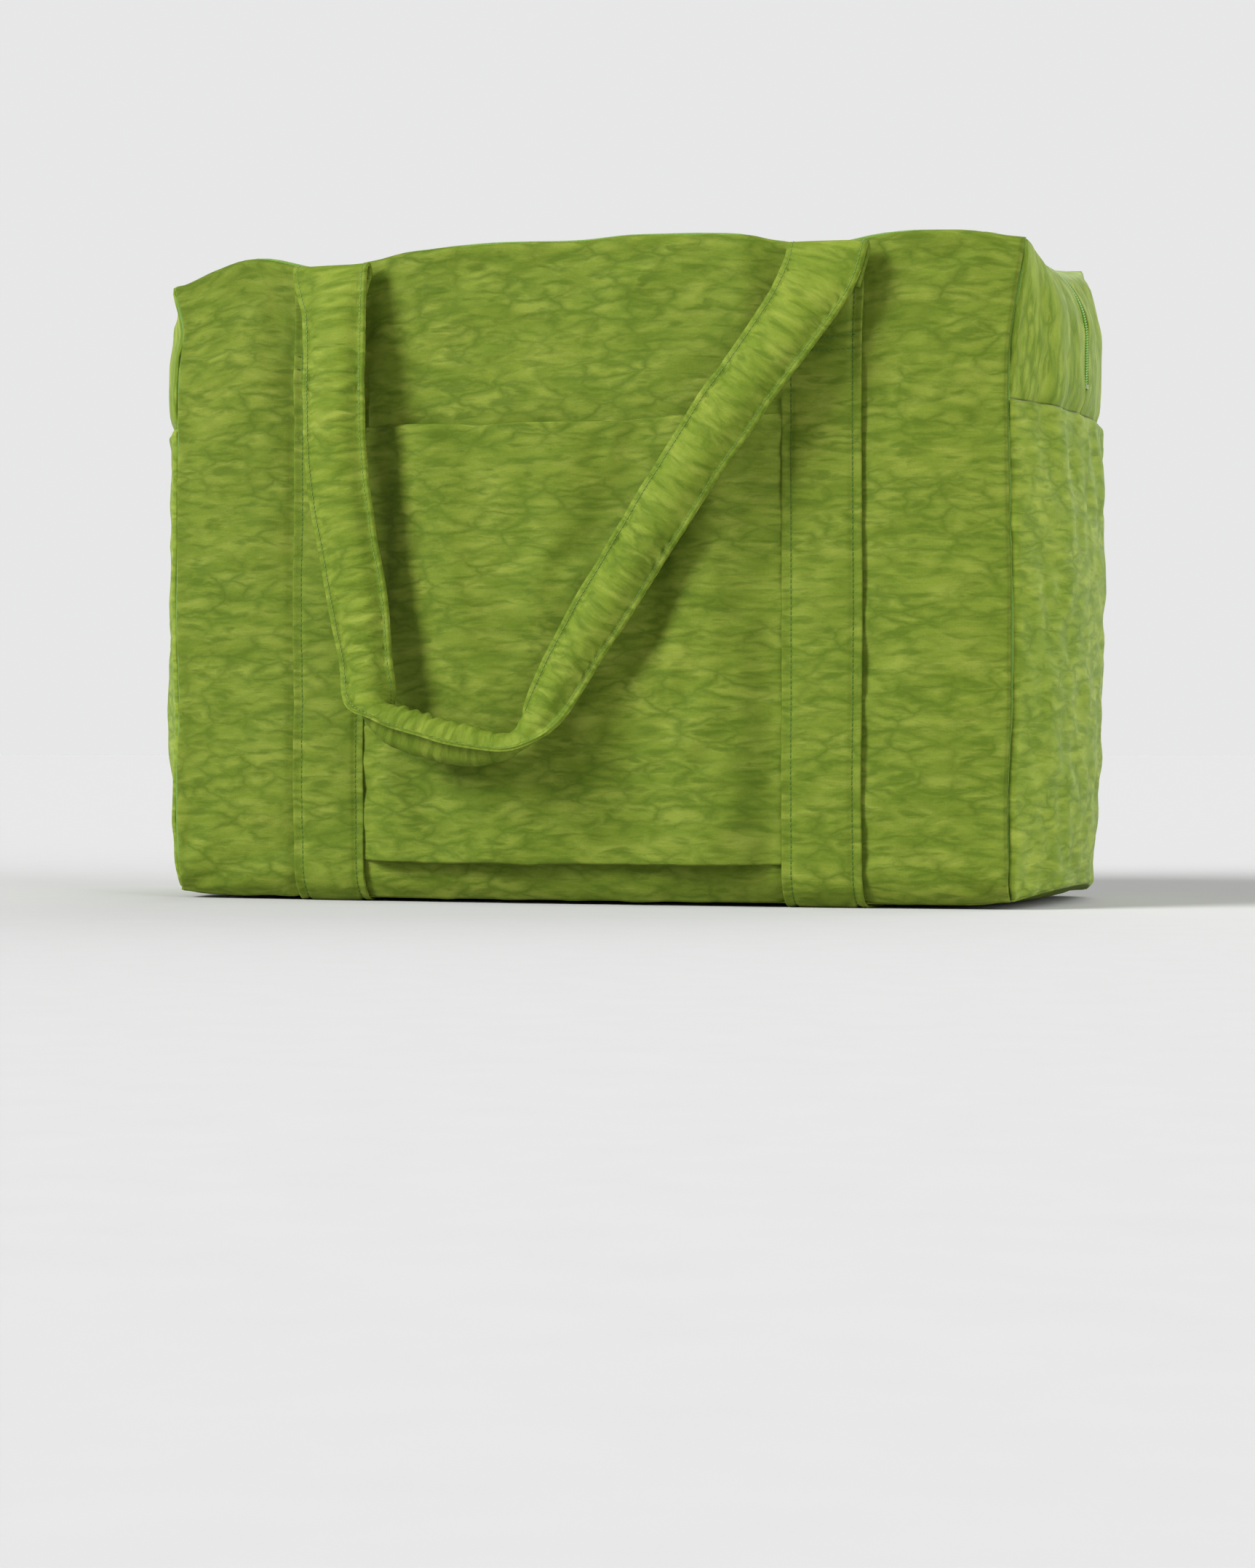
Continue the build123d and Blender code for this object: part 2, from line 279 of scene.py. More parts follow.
XS = grid_lines(-HALF_W, (-BAND_OUT, 11), (-BAND_IN, 6), (BAND_IN, 32), (BAND_OUT, 6), (HALF_W, 11))
SEAM_ROW = 36
ZS = grid_lines(0.0, (SEAM_Z, SEAM_ROW), (HEIGHT, 12))
YS = grid_lines(-HALF_D, (-ZIP_HALF, 12), (ZIP_HALF, 2), (HALF_D, 12))
NX, NZ, NY = len(XS), len(ZS), len(YS)
BOTTOM_ROLL = 16.0  # the lowest stretch of each panel turns under


def panel_target(front):
    """Filled shape of the rear or front panel before the solver, seams included."""
    x, z = np.meshgrid(XS, ZS, indexing="ij")
    seed = 40 if front else 10
    u, v = x / HALF_W, z / HEIGHT
    side_edge, top_edge = np.abs(u) ** 4, v**5
    to_side, to_top = HALF_W - np.abs(x), HEIGHT - z
    dip = bell(np.abs(x) - BAND_MID, 24)  # the bands hold the top edge down
    corner = np.exp(-((to_side / 16) ** 2 + (to_top / 16) ** 2))
    foot = np.exp(-((to_side / 14) ** 2 + (z / 14) ** 2))
    ear = ease((np.abs(u) - 0.8) / 0.2)
    # outwards: the upper corners stand out further than the sides
    px = x + side_edge * 1.6 * noise(z / 55, np.sign(x) * 3.3, seed=seed) * np.sign(x)
    flare = np.where(x > 0, 6.5 * ease((z - 300) / 60), -3.5 * bell(z - 334, 17))
    flare = np.where(front, -4.0 * ease((z - 320) / 45), flare)
    px += np.sign(x) * (side_edge * flare + 1.5 * corner - 1.0 * foot)
    # upwards: the top edge rises between the bands and drops towards its corners
    crown = 4.2 * np.clip(1 - (np.abs(x) / 118) ** 4, 0, 1) + 2.8 * bell(x + 193, 20)
    pz = z + top_edge * (3.0 - 5.5 * dip + crown + 1.2 * noise(x / 42, 0.5, seed=seed + 1))
    droop = np.where(x > 0, 1.5, 6.5) * ear
    pz += 2.0 * foot - top_edge * np.where(front, -2.0 * ear, droop)
    pz -= corner * np.where(front, 0.0, 3.5)
    # towards the viewer: the bow, slow swells beside and between the bands, the rolled foot
    depth = HALF_D + BOW_LONG * (1 - u**2) * (0.86 + 0.14 * np.sin(np.pi * np.clip(v, 0, 1)))
    outer = ease((np.abs(x) - BAND_OUT) / 14) * (1 - side_edge) * ease((z - 8) / 40)
    depth += outer * 3.4 * fbm(x / 27 + z / 210, z / 130, seed=seed + 6, octaves=2)
    within = ease((BAND_IN - np.abs(x)) / 16) * ease((z - 8) / 40)
    depth += within * 2.4 * fbm(x / 32 - z / 160, z / 90, seed=seed + 7, octaves=2)
    roll = np.clip(1 - z / BOTTOM_ROLL, 0, 1)
    depth -= 7.0 * roll**2
    pz += FLOOR_Z * (1 - ease(z / 40)) + 0.6
    depth += 1.3 * fbm(x / 95, z / 80, seed=seed + 2) * (1 - side_edge)
    return np.stack([px, (1 if front else -1) * depth, pz], -1)


NS = 2 * (NX - 1) + 2 * (NZ - 1)
S_RIGHT, S_TOP, S_LEFT = NX - 1, NX - 1 + NZ - 1, 2 * (NX - 1) + NZ - 1
CORNER_R, CORNER_X, CORNER_Z = 48.0, 221.5, 318.0  # the gusset's round top corners
ROUND_FROM = 300.0  # the side's grid lines above this height share out the corner's run
FLAT_TO = 190.0  # the top's grid lines within this distance of the middle lie flat
TOP_Z = 366.6
SLIDER_TOP = 332.0  # the slider's run ends here


def middle_loop():
    """Where the gusset's centreline runs: bowed sides, rounded top corners, flat base."""
    points = [(x * 1.06, FLOOR_Z + 0.8 + 8 * ease((abs(x) - 222) / 28) ** 2) for x in XS]
    half_arc = CORNER_R * math.pi / 4
    upright, level = CORNER_Z - ROUND_FROM, CORNER_X - FLAT_TO
    for z in ZS[1:]:
        if z <= ROUND_FROM:
            bulge = BOW_SHORT - 0.6 - 5 * (1 - ease(z / 50)) - 2 * bell(z - SEAM_Z, 12)
            points.append((HALF_W + bulge, z if z > 24 else z * 0.6 + 9.6))
            continue
        reach = (z - ROUND_FROM) / (HEIGHT - ROUND_FROM) * (upright + half_arc)
        turn = max(0.0, reach - upright) / CORNER_R
        start = min(CORNER_Z, ROUND_FROM + reach)
        points.append((CORNER_X + CORNER_R * math.cos(turn), start + CORNER_R * math.sin(turn)))
    for x in XS[::-1][1:]:
        if abs(x) < FLAT_TO:
            points.append((x, TOP_Z))
            continue
        reach = (abs(x) - FLAT_TO) / (HALF_W - FLAT_TO) * (level + half_arc)
        turn = math.pi / 2 - max(0.0, reach - level) / CORNER_R
        px = min(FLAT_TO + reach, CORNER_X)
        px += CORNER_R * math.cos(turn) if reach > level else 0
        points.append((math.copysign(px, x), CORNER_Z + CORNER_R * math.sin(turn)))
    right = points[NX : NX + NZ - 2]
    for x, z in right[::-1]:
        # the left end stays straight as far up as the slider runs
        over = min(max(z - CORNER_Z, 0.0), 40.0)
        rounded = CORNER_R - math.sqrt(CORNER_R**2 - over**2)
        points.append((-x - rounded * (1 - ease((z - SLIDER_TOP) / 10)), z))
    return np.array(points)


def gusset_target(rear, front):
    """Filled shape of the whole gusset before the solver, between the panels' edges."""
    rear_loop, front_loop, middle = border(rear), border(front), middle_loop()
    nominal = (rear_loop + front_loop)[:, [0, 2]] / 2
    share = (np.abs(YS) / HALF_D)[None, :]
    t = ((YS + HALF_D) / (2 * HALF_D))[None, :, None]
    base = rear_loop[:, None] * (1 - t) + front_loop[:, None] * t
    push = (middle - nominal)[:, None, :] * (1 - share**1.9)[..., None]
    seam_y = np.where(YS[None, :] < 0, -rear_loop[:, 1:2], front_loop[:, 1:2])
    out = base.copy()
    out[..., 0] += push[..., 0]
    out[..., 2] += push[..., 1]
    out[..., 1] = YS[None, :] + np.sign(YS)[None, :] * (seam_y - HALF_D) * share**2
    # soft upright folds on the two sides, a little deeper low down
    s = np.arange(NS)
    on_side = ((s > S_RIGHT) & (s < S_TOP)) | (s > S_LEFT)
    z = np.clip(middle[:, 1], 0, HEIGHT)[:, None]
    hand = np.sign(middle[:, :1])
    fold = fbm(YS[None, :] / 20 + z / 190, z / 120, hand * 2.5, seed=71, octaves=2)
    free = (1 - share**6) * ease((np.abs(YS) - ZIP_HALF) / 14)[None, :]
    out[..., 0] += np.where(on_side[:, None], hand * 3.0 * fold * free * ease(z / 60), 0)
    lobe = bell(np.abs(YS) - 52, 27)[None, :]
    lobe = np.where(hand > 0, bell(YS[None, :] - 66, 25), lobe)
    full = np.where(hand < 0, 10.0, 5.0) * ease(z / 90) * ease((HEIGHT + 12 - z) / 50)
    out[..., 0] += np.where(on_side[:, None], hand * lobe * full, 0)
    return out


def sewn_bag():
    """Rear, front and gusset grids after the solver."""
    rear, front = panel_target(False), panel_target(True)
    ring = gusset_target(rear, front)
    n = NX * NZ
    ids_rear = np.arange(n).reshape(NX, NZ)
    ids_front = ids_rear + n
    ids_ring = np.zeros((NS, NY), int)
    ids_ring[:, 0] = border(ids_rear)
    ids_ring[:, -1] = border(ids_front)
    ids_ring[:, 1:-1] = 2 * n + np.arange(NS * (NY - 2)).reshape(NS, NY - 2)
    verts = np.concatenate([part.reshape(-1, 3) for part in (rear, front, ring[:, 1:-1])])
    faces = [quads(NX, NZ), quads(NX, NZ, n, flip=True)]
    after = np.roll(ids_ring, -1, axis=0)
    for k in range(NY - 1):
        corners = (ids_ring[:, k], ids_ring[:, k + 1], after[:, k + 1], after[:, k])
        faces.append(np.stack(corners, 1))
    pin = np.zeros(len(verts))
    slack = np.full(len(verts), 0.006)
    slack[2 * n :] = 0.012
    for ids in (ids_rear, ids_front):
        for edge in (BAND_IN, BAND_OUT):
            for i in (np.argmin(abs(XS - edge)), np.argmin(abs(XS + edge))):
                pin[ids[i, :-3]] = 1
        pin[ids[:, :3]] = 1
    pin[ids_ring[:, [0, -1]]] = 1
    pin[ids_ring[: S_RIGHT + 1]] = 1
    beside_zip = np.nonzero(abs(YS) <= ZIP_HALF + 0.1)[0]
    pin[ids_ring[np.ix_(np.arange(S_RIGHT + SEAM_ROW, NS - SEAM_ROW), beside_zip)]] = 1
    for row in (S_RIGHT + SEAM_ROW, NS - SEAM_ROW):
        pin[ids_ring[row]] = 1
    moved = inflate(
        "bag_solver", verts, np.concatenate(faces), pin, slack, pressure=2.2, frames=22, cap=9.0
    )
    return moved[ids_rear], moved[ids_front], moved[ids_ring]


REAR, FRONT, RING = sewn_bag()


# ---- materials ------------------------------------------------------------------------
def srgb(r, g, b):
    """Linear colour from display values of 10 to 255."""
    return tuple(((c / 255 + 0.055) / 1.055) ** 2.4 for c in (r, g, b))


def grey(value):
    return (value, value, value)


CLOTH_LIGHT = 0.66  # the fabric's own reflectance, below what a lit photograph shows


class Nodes:
    """Short-hand for building one material's node tree."""

    def __init__(self, name):
        self.mat = bpy.data.materials.new(name)
        self.mat.use_nodes = True
        self.tree = self.mat.node_tree
        self.shader = self.tree.nodes["Principled BSDF"]

    def add(self, kind, inputs=(), **settings):
        node = self.tree.nodes.new(kind)
        for key, value in settings.items():
            setattr(node, key, value)
        for key, value in dict(inputs).items():
            if isinstance(value, bpy.types.NodeSocket):
                self.tree.links.new(value, node.inputs[key])
            else:
                node.inputs[key].default_value = value
        return node

    def link(self, socket, name):
        self.tree.links.new(socket, self.shader.inputs[name])

    def ramp(self, value, *stops):
        node = self.add("ShaderNodeValToRGB", {"Fac": value})
        ramp = node.color_ramp
        while len(ramp.elements) < len(stops):
            ramp.elements.new(0.5)
        for element, (place, colour) in zip(ramp.elements, stops):
            element.position = place
            element.color = (*colour, 1)
        return node.outputs["Color"]

    def math(self, operation, a, b):
        return self.add("ShaderNodeMath", {0: a, 1: b}, operation=operation).outputs[0]

    def mix(self, factor, a, b, blend="MIX"):
        inputs = {0: factor, 6: a, 7: b}
        return self.add("ShaderNodeMix", inputs, data_type="RGBA", blend_type=blend).outputs[2]

    def stretched(self, vector, size):
        """Cloth coordinates counted in steps of size = (along, across) metres."""
        scale = (1 / size[0], 1 / size[1], 1.0)
        return self.add("ShaderNodeMapping", {"Vector": vector, "Scale": scale}).outputs[0]

    def noise(self, vector, scale=1.0, detail=3.0, rough=0.5, twist=0.0, output="Fac"):
        inputs = {"Vector": vector, "Scale": scale, "Detail": detail}
        inputs |= {"Roughness": rough, "Distortion": twist}
        return self.add("ShaderNodeTexNoise", inputs).outputs[output]

    def cloud(self, vector, size, detail=3.0, rough=0.55, twist=0.0):
        """Noise whose blobs are about size = (along, across) metres on the cloth."""
        return self.noise(self.stretched(vector, size), 1.0, detail, rough, twist)

    def cell_edges(self, vector, size):
        """Distance to the edge of the nearest cell; a cell is about size metres."""
        return self.add(
            "ShaderNodeTexVoronoi", {"Vector": self.stretched(vector, size), "Scale": 1.0},
            voronoi_dimensions="2D", feature="DISTANCE_TO_EDGE",
        ).outputs["Distance"]

    def waves(self, vector, turn):
        """Fine threads running one way across the cloth."""
        turned = self.add("ShaderNodeMapping", {"Vector": vector, "Rotation": (0, 0, turn)})
        inputs = {"Vector": turned.outputs[0], "Scale": 405.0, "Distortion": 1.6}
        inputs |= {"Detail": 1.0, "Detail Scale": 0.4}
        return self.add("ShaderNodeTexWave", inputs).outputs["Fac"]

    def raise_by(self, height, strength, distance):
        inputs = {"Height": height, "Strength": strength, "Distance": distance}
        self.link(self.add("ShaderNodeBump", inputs).outputs[0], "Normal")


def nylon(name, light=1.0, bump=1.0, seed=0.0, sheen=0.0):
    """Garment-dyed crinkle nylon: cloudy cells with greener veins, streaks and a weave."""
    m = Nodes(name)
    uv = m.add("ShaderNodeUVMap", uv_map="cloth").outputs[0]
    place = {"Vector": uv, "Location": (seed, seed * 0.7, 0)}
    vec = m.add("ShaderNodeMapping", place).outputs[0]
    near = m.add("ShaderNodeMapping", {"Vector": vec, "Scale": (38.0, 70.0, 1.0)}).outputs[0]
    wander = m.noise(near, rough=0.62, output="Color")
    bend = {0: wander, 1: (0.030, 0.013, 0.0), 2: vec}
    bent = m.add("ShaderNodeVectorMath", bend, operation="MULTIPLY_ADD").outputs[0]
    blotch = m.cloud(vec, (0.030, 0.0105), 3.0, 0.58, 0.5)
    mark = m.cloud(vec, (0.0185, 0.0052), 2.8, 0.5, 0.4)
    streak = m.cloud(vec, (0.024, 0.0030), 2.0, 0.6, 0.2)
    patch = m.cloud(vec, (0.13, 0.08), 2.0, 0.5)
    shown = m.cloud(vec, (0.050, 0.021), 2.0, 0.55)
    dark, low, base, pale = (
        tuple(c * light * CLOTH_LIGHT for c in srgb(*shade))
        for shade in ((93, 117, 29), (118, 140, 42), (130, 149, 50), (145, 161, 62))
    )
    # clouds of three greens, with darker veins and marks over them
    tone = m.ramp(blotch, (0.36, low), (0.50, base), (0.66, pale))
    edges = m.cell_edges(bent, (0.023, 0.0090))
    line = m.ramp(edges, (0.0, grey(1)), (0.10, grey(0.6)), (0.28, grey(0)))
    keep = m.ramp(shown, (0.34, grey(0.10)), (0.56, grey(0.84)))
    vein = m.math("MULTIPLY", line, keep)
    spot = m.ramp(mark, (0.33, grey(0.80)), (0.42, grey(0.44)), (0.52, grey(0)))
    colour = m.mix(m.math("MAXIMUM", vein, spot), tone, (*dark, 1))
    # lighter and darker streaks, patches, yarns and threads
    heather = m.cloud(vec, (0.0016, 0.0009), 2.0, 0.7)
    weave = m.math("MULTIPLY", m.waves(vec, 0.0), m.waves(vec, math.pi / 2))
    for tint in (
        m.ramp(streak, (0.32, (0.93, 0.96, 0.91)), (0.46, grey(1))),
        m.ramp(patch, (0.3, (0.92, 0.95, 0.91)), (0.7, (1.06, 1.04, 1.07))),
        m.ramp(heather, (0.3, (0.93, 0.94, 0.91)), (0.7, (1.07, 1.06, 1.08))),
        m.ramp(weave, (0.0, (0.95, 0.955, 0.94)), (1.0, (1.07, 1.06, 1.07))),
    ):
        colour = m.mix(1.0, colour, tint, "MULTIPLY")
    m.link(colour, "Base Color")
    crease = m.cloud(vec, (0.016, 0.0065), 4.0, 0.62, 0.8)
    fine = m.cloud(vec, (0.0045, 0.0022), 2.0, 0.6)
    height = m.math("ADD", m.math("MULTIPLY", crease, 0.26), m.math("MULTIPLY", fine, 0.05))
    height = m.math("ADD", height, m.math("MULTIPLY", weave, 0.03))
    m.raise_by(height, 0.5 * bump, 0.0022)
    m.link(m.ramp(streak, (0.3, grey(0.78)), (0.7, grey(0.68))), "Roughness")
    m.shader.inputs["Sheen Weight"].default_value = sheen
    m.shader.inputs["Sheen Roughness"].default_value = 0.4
    m.shader.inputs["Sheen Tint"].default_value = (0.9, 1.0, 0.7, 1)
    m.shader.inputs["Specular IOR Level"].default_value = 0.09
    return m.mat


def plain(name, colour, rough, size, vary=0.12, bump=0.2, sheen=0.0, coat=0.0):
    """A small part's finish: grain in the colour, the roughness and the surface."""
    m = Nodes(name)
    where = m.add("ShaderNodeTexCoord").outputs["Object"]
    grain = m.noise(where, 1 / size)
    low = tuple(c * (1 - vary) for c in colour)
    high = tuple(min(1, c * (1 + vary)) for c in colour)
    m.link(m.ramp(grain, (0.3, low), (0.7, high)), "Base Color")
    m.link(m.ramp(grain, (0.3, grey(rough * 0.88)), (0.7, grey(rough * 1.1))), "Roughness")
    m.raise_by(grain, bump, size * 0.3)
    m.shader.inputs["Specular IOR Level"].default_value = 0.5 if coat else 0.22
    m.shader.inputs["Sheen Weight"].default_value = sheen
    m.shader.inputs["Coat Weight"].default_value = coat
    return m.mat


PANEL = nylon("crinkle_nylon_panel")
PANEL_FRONT = nylon("crinkle_nylon_front", seed=1.7)
# painted light: the gusset's greens are 1.36 times the panels', standing in for the brighter light
# that falls on the bag's sides and top
GUSSET_PAINTED_LIGHTER = nylon("crinkle_nylon_gusset_painted_lighter", light=1.36, seed=0.9, sheen=0.16)
STRAP = nylon("crinkle_nylon_strap", light=1.12, bump=1.1, seed=2.3)
BAND = nylon("crinkle_nylon_band", seed=3.1)
SLEEVE = nylon("crinkle_nylon_sleeve", seed=4.4)
THREAD = plain("stitch_thread", srgb(93, 127, 36), 0.5, size=0.0004, vary=0.2, sheen=0.3)
# painted shade: the band stitches' thread is darker than the real thread, standing in for the
# shadow of its needle holes and of the groove beside each band edge
BAND_THREAD_PAINTED_SHADE = plain("band_thread_painted_shade", srgb(64, 94, 24), 0.6, size=0.0004, vary=0.2)
COIL = plain("zip_coil_nylon", srgb(94, 142, 30), 0.42, size=0.0006)
WOVEN = {"rough": 0.8, "vary": 0.25, "bump": 0.5, "sheen": 0.3}
TAPE = plain("zip_tape_weave", srgb(84, 122, 34), size=0.0005, **WOVEN)
BINDING = plain("binding_tape", srgb(92, 124, 36), size=0.0006, **WOVEN)
ENAMEL = plain("slider_enamel", srgb(58, 92, 26), 0.34, size=0.0012, bump=0.08, coat=0.5)


def finish_piece(obj, material, body=None, blend=None, nodes=()):
    """Gives a piece its material; without a blend, also the body that carries it. A blend only has
    the piece's placement baked into its points and is not applied.
    """
    obj.data.materials.clear()
    obj.data.materials.append(material)
    if blend:
        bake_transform(obj)
    else:
        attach(obj, body)
    if nodes:
        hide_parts(*nodes)


# ---- panels ---------------------------------------------------------------------------
def lip(d, depth=2.5, rise=0.7):
    """Across a turned seam: the cloth dives at the stitching and rolls just inside it."""
    return rise * bell(d - 4.2, 3.0) - depth * bell(d, 1.7)


def fine_index(cells, start_fine=True, end_fine=True, step=0.55):
    """Fractional grid indices: close together where a seam's profile needs them."""
    near, inner_edge = [0.0, 0.16, 0.32, 0.52], 0.8
    low = inner_edge if start_fine else 0.0
    high = cells - (inner_edge if end_fine else 0.0)
    inner = np.linspace(low, high, max(2, int(round((high - low) / step)) + 1))
    before = near if start_fine else []
    after = [cells - n for n in near[::-1]] if end_fine else []
    return np.concatenate([before, inner, after])


def tucked(pts, sides="abcd"):
    """Draws the named borders in along the cloth, so each seam closes under its neighbour."""
    pts = pts.copy()
    turned = pts.swapaxes(0, 1)
    views = {"a": pts, "b": pts[::-1], "c": turned, "d": turned[::-1]}
    for side in sides:
        view = views[side]
        inward = unit(view[4] - view[0])
        for row, amount in enumerate((1.5, 1.0, 0.4)):
            view[row] += inward * amount
    return pts


def pucker(d, reach, hold):
    """How strongly a seam gathers the cloth beside it: nothing on the seam, most near it."""
    return fade(d, reach) * (1 - fade(d, hold))


def panel_piece(name, grid, front):
    """Rear or front panel: turned seams, puckers, dimples along the bands, corner folds."""
    u, v = fine_index(NX - 1), fine_index(NZ - 1)
    pts = resample(grid, u, v)
    x = np.interp(u, np.arange(NX), XS)[:, None]
    z = np.interp(v, np.arange(NZ), ZS)[None, :]
    seed = 300 if front else 200
    to_side, to_end = HALF_W - np.abs(x), np.minimum(HEIGHT - z, z)
    out = lip(np.minimum(to_side, HEIGHT - z)) * ease(z / 14)
    out = out + 0.9 * pucker(to_end, 13, 2) * noise(x / 11, 0.3, seed=seed)
    out = out + 0.7 * pucker(to_side, 11, 2) * noise(z / 12, 1.3, seed=seed)
    for edge, sign in ((BAND_OUT + 1.6, 1), (BAND_IN - 1.6, -1)):
        away = (np.abs(x) - edge) * sign
        held = ease((350 - z) / 10)
        out = out - held * 1.6 * bell(away, 2.4)
        ripple = noise(z / 9.5, np.sign(x) * 2 + sign, seed=seed + 3)
        out = out + held * 0.55 * ripple * fade(np.abs(away - 4), 8) * (away > 0)
    out = out + 0.7 * fbm(x / 19, z / 10, seed=seed + 5)
    for rise, strength in ((z, 2.6), (HEIGHT - z, 1.5)):  # folds that fan out of the corners
        away = np.hypot(to_side, rise)
        fan = noise(5.0 * np.arctan2(rise, to_side + 1.0), np.sign(x) * 4.0, seed=seed + 9)
        out = out + strength * fan * fade(away, 60) * ease(away / 30)
    pts = tucked(pts + normals(pts, flip=front) * out[..., None], "abd")
    uv = np.stack(np.broadcast_arrays(x * MM, z * MM), -1)
    return shell(name, pts, 1.1, flip=front, uv=uv)


for front, side in HALVES.items():
    piece = panel_piece(f"{side}_panel_cloth", FRONT if front else REAR, front)
    material = PANEL_FRONT if front else PANEL
    finish_piece(piece, material, "bag", nodes=[f"{side}_panel"])


def ring_rows(s0, s1):
    """The gusset's rows from s0 to s1; they run on round past the last one."""
    return RING[np.arange(s0, s1 + 1) % NS]


def side_piece(hand):
    """A side gusset: tucked at its two long seams, rolled over the gusset seam on top."""
    grid = ring_rows(S_RIGHT, S_RIGHT + SEAM_ROW) if hand > 0 else ring_rows(NS - SEAM_ROW, NS)
    u, v = fine_index(SEAM_ROW), fine_index(NY - 1)
    pts = resample(grid, u, v)
    z = np.interp(u, [0, SEAM_ROW], [0, SEAM_Z] if hand > 0 else [SEAM_Z, 0])[:, None]
    y = np.interp(v, np.arange(NY), YS)[None, :]
    out = lip(HALF_D - np.abs(y), 2.5, 0.4) + lip(z, 1.0, 0.3)
    top = SEAM_Z - z
    out = out + 1.0 * bell(top - 3.5, 4.0) - 1.4 * bell(top, 1.3)
    out = out + 0.8 * pucker(top, 14, 3) * noise(y / 9, hand, seed=501)
    out = out + 0.5 * fbm(y / 13, z / 45, hand * 3.0, seed=505)
    loose = ease((HALF_D - np.abs(y)) / 18)
    cross = noise((y + 0.8 * z) / 13, (z - y) / 34, seed=511)
    cross = cross + noise((0.9 * y - 0.7 * z) / 12, (z + y) / 30, seed=513)
    out = out + 1.15 * cross * loose
    out = out + 0.5 * fade(HALF_D - np.abs(y), 12) * noise(z / 11, hand, seed=507)
    pts = tucked(pts + normals(pts, flip=True) * out[..., None], "cd")
    uv = np.stack(np.broadcast_arrays(y * MM, z * MM), -1)
    name = f"side_gusset_{SIDES[hand]}_cloth"
    return shell(name, pts, 1.1, flip=True, uv=uv, shift=(0.0, hand * 0.6))


for hand, side in SIDES.items():
    piece = side_piece(hand)
    finish_piece(piece, GUSSET_PAINTED_LIGHTER, "bag", nodes=[f"side_gusset_{side}"])
base = resample(ring_rows(0, S_RIGHT), fine_index(NX - 1), fine_index(NY - 1))
base_piece = shell("base_panel_cloth", tucked(base, "cd"), 1.2, flip=True)
finish_piece(base_piece, PANEL, "bag", nodes=["base_panel"])

# ---- zip gusset: four soft quarters round the zip's mouth -----------------------------
MID_TOP = S_TOP + (NX - 1) // 2
K_REAR, K_FRONT = 12, 14  # grid columns along the two sides of the zip
END_X = 235.0  # cloth further out than this is on the bag's ends, not on its top
MOUTH_HALF = 240.0  # the opening reaches this far to each side of the middle
MOUTH_DEPTH = 103.0  # from a long seam to the zip


def mouth_blend(hand, front):
    """A blend still along the seam and at the mouth's ends, full at the zip's middle; nothing
    applies it.
    """
    to = 1 if front else -1
    rise = np.array([-hand / MOUTH_HALF, -to / MOUTH_DEPTH])
    start = np.array([hand * MOUTH_HALF, to * ZIP_HALF])
    end = start + rise / (rise @ rise)
    return ("bag", f"{HALVES[front]}_flap", (*(start * MM), 0), (*(end * MM), 0))


def zip_quarter(hand, front):
    """One quarter of the zip gusset, from the seam across the gusset to the middle."""
    if hand > 0:
        s0, s1 = S_RIGHT + SEAM_ROW, MID_TOP
    else:
        s0, s1 = MID_TOP, NS - SEAM_ROW
    k0, k1 = (K_FRONT, NY - 1) if front else (0, K_REAR)
    grid = ring_rows(s0, s1)[:, k0 : k1 + 1]
    u = fine_index(s1 - s0, start_fine=hand > 0, end_fine=hand < 0)
    v = fine_index(k1 - k0)
    pts = resample(grid, u, v)
    y = np.interp(v, np.arange(k1 - k0 + 1), YS[k0 : k1 + 1])[None, :]
    from_seam = HALF_D - np.abs(y)
    from_zip = np.abs(y) - ZIP_HALF
    uv = grid_lengths(pts)
    uv[..., 0] -= uv[-1, 0, 0] if hand > 0 else 0.0
    along = uv[..., 0] / MM  # from 0 at the middle of the top, down to the two ends
    z = pts[..., 2]
    on_end = np.abs(pts[..., 0]) > END_X
    above_seam = np.where(on_end, np.maximum(z - SEAM_Z, 0), HEIGHT)
    out = lip(from_seam, 2.5, 0.4) + 0.5 * bell(from_zip - 1.5, math.sqrt(3.0))
    out = out - 2.0 * ease((z - 352) / 10) * bell(from_seam, 9)
    out = out - 1.9 * bell(above_seam, 5.0)
    seed = 600 + (10 if front else 0)
    out = out + 0.6 * fbm(along / 22, (y + 0.3 * along) / 19, seed=seed, octaves=2)
    cross = noise((y + 0.6 * along) / 10, (along - y) / 30, seed=seed + 7)
    out = out + 0.7 * cross * ease(from_seam / 16) * ease(from_zip / 14)
    out = out + 0.6 * fade(from_seam, 12) * noise(along / 10, 0.5, seed=seed + 3)
    beside_zip = fade(from_zip, 9) * ease(from_zip / 4)
    out = out + 0.5 * beside_zip * noise(along / 13, 0.5, seed=seed + 5)
    pts = pts + normals(pts, flip=True) * out[..., None]
    shut = np.where(on_end, 1 - ease((z - ZIP_END + 4) / 5), 0)
    pts[..., 1] -= np.sign(y) * (ZIP_HALF - 0.35) * shut * bell(from_zip, 7)
    pts = tucked(pts, "d" if front else "c")
    name = f"zip_gusset_{SIDES[hand]}_{HALVES[front]}_cloth"
    return shell(name, pts, 1.0, flip=True, uv=uv, shift=(0.4, 0.3 if front else 0.0))


for hand, side in SIDES.items():
    for front, half in HALVES.items():
        piece, blend = zip_quarter(hand, front), mouth_blend(hand, front)
        nodes = [f"zip_gusset_{side}_{half}", f"zip_flap_{half}"]
        finish_piece(piece, GUSSET_PAINTED_LIGHTER, blend=blend, nodes=nodes)


COIL_PITCH = 1.45
TEETH_OFFSET = 0.72  # the front half's teeth fall between those of the rear half


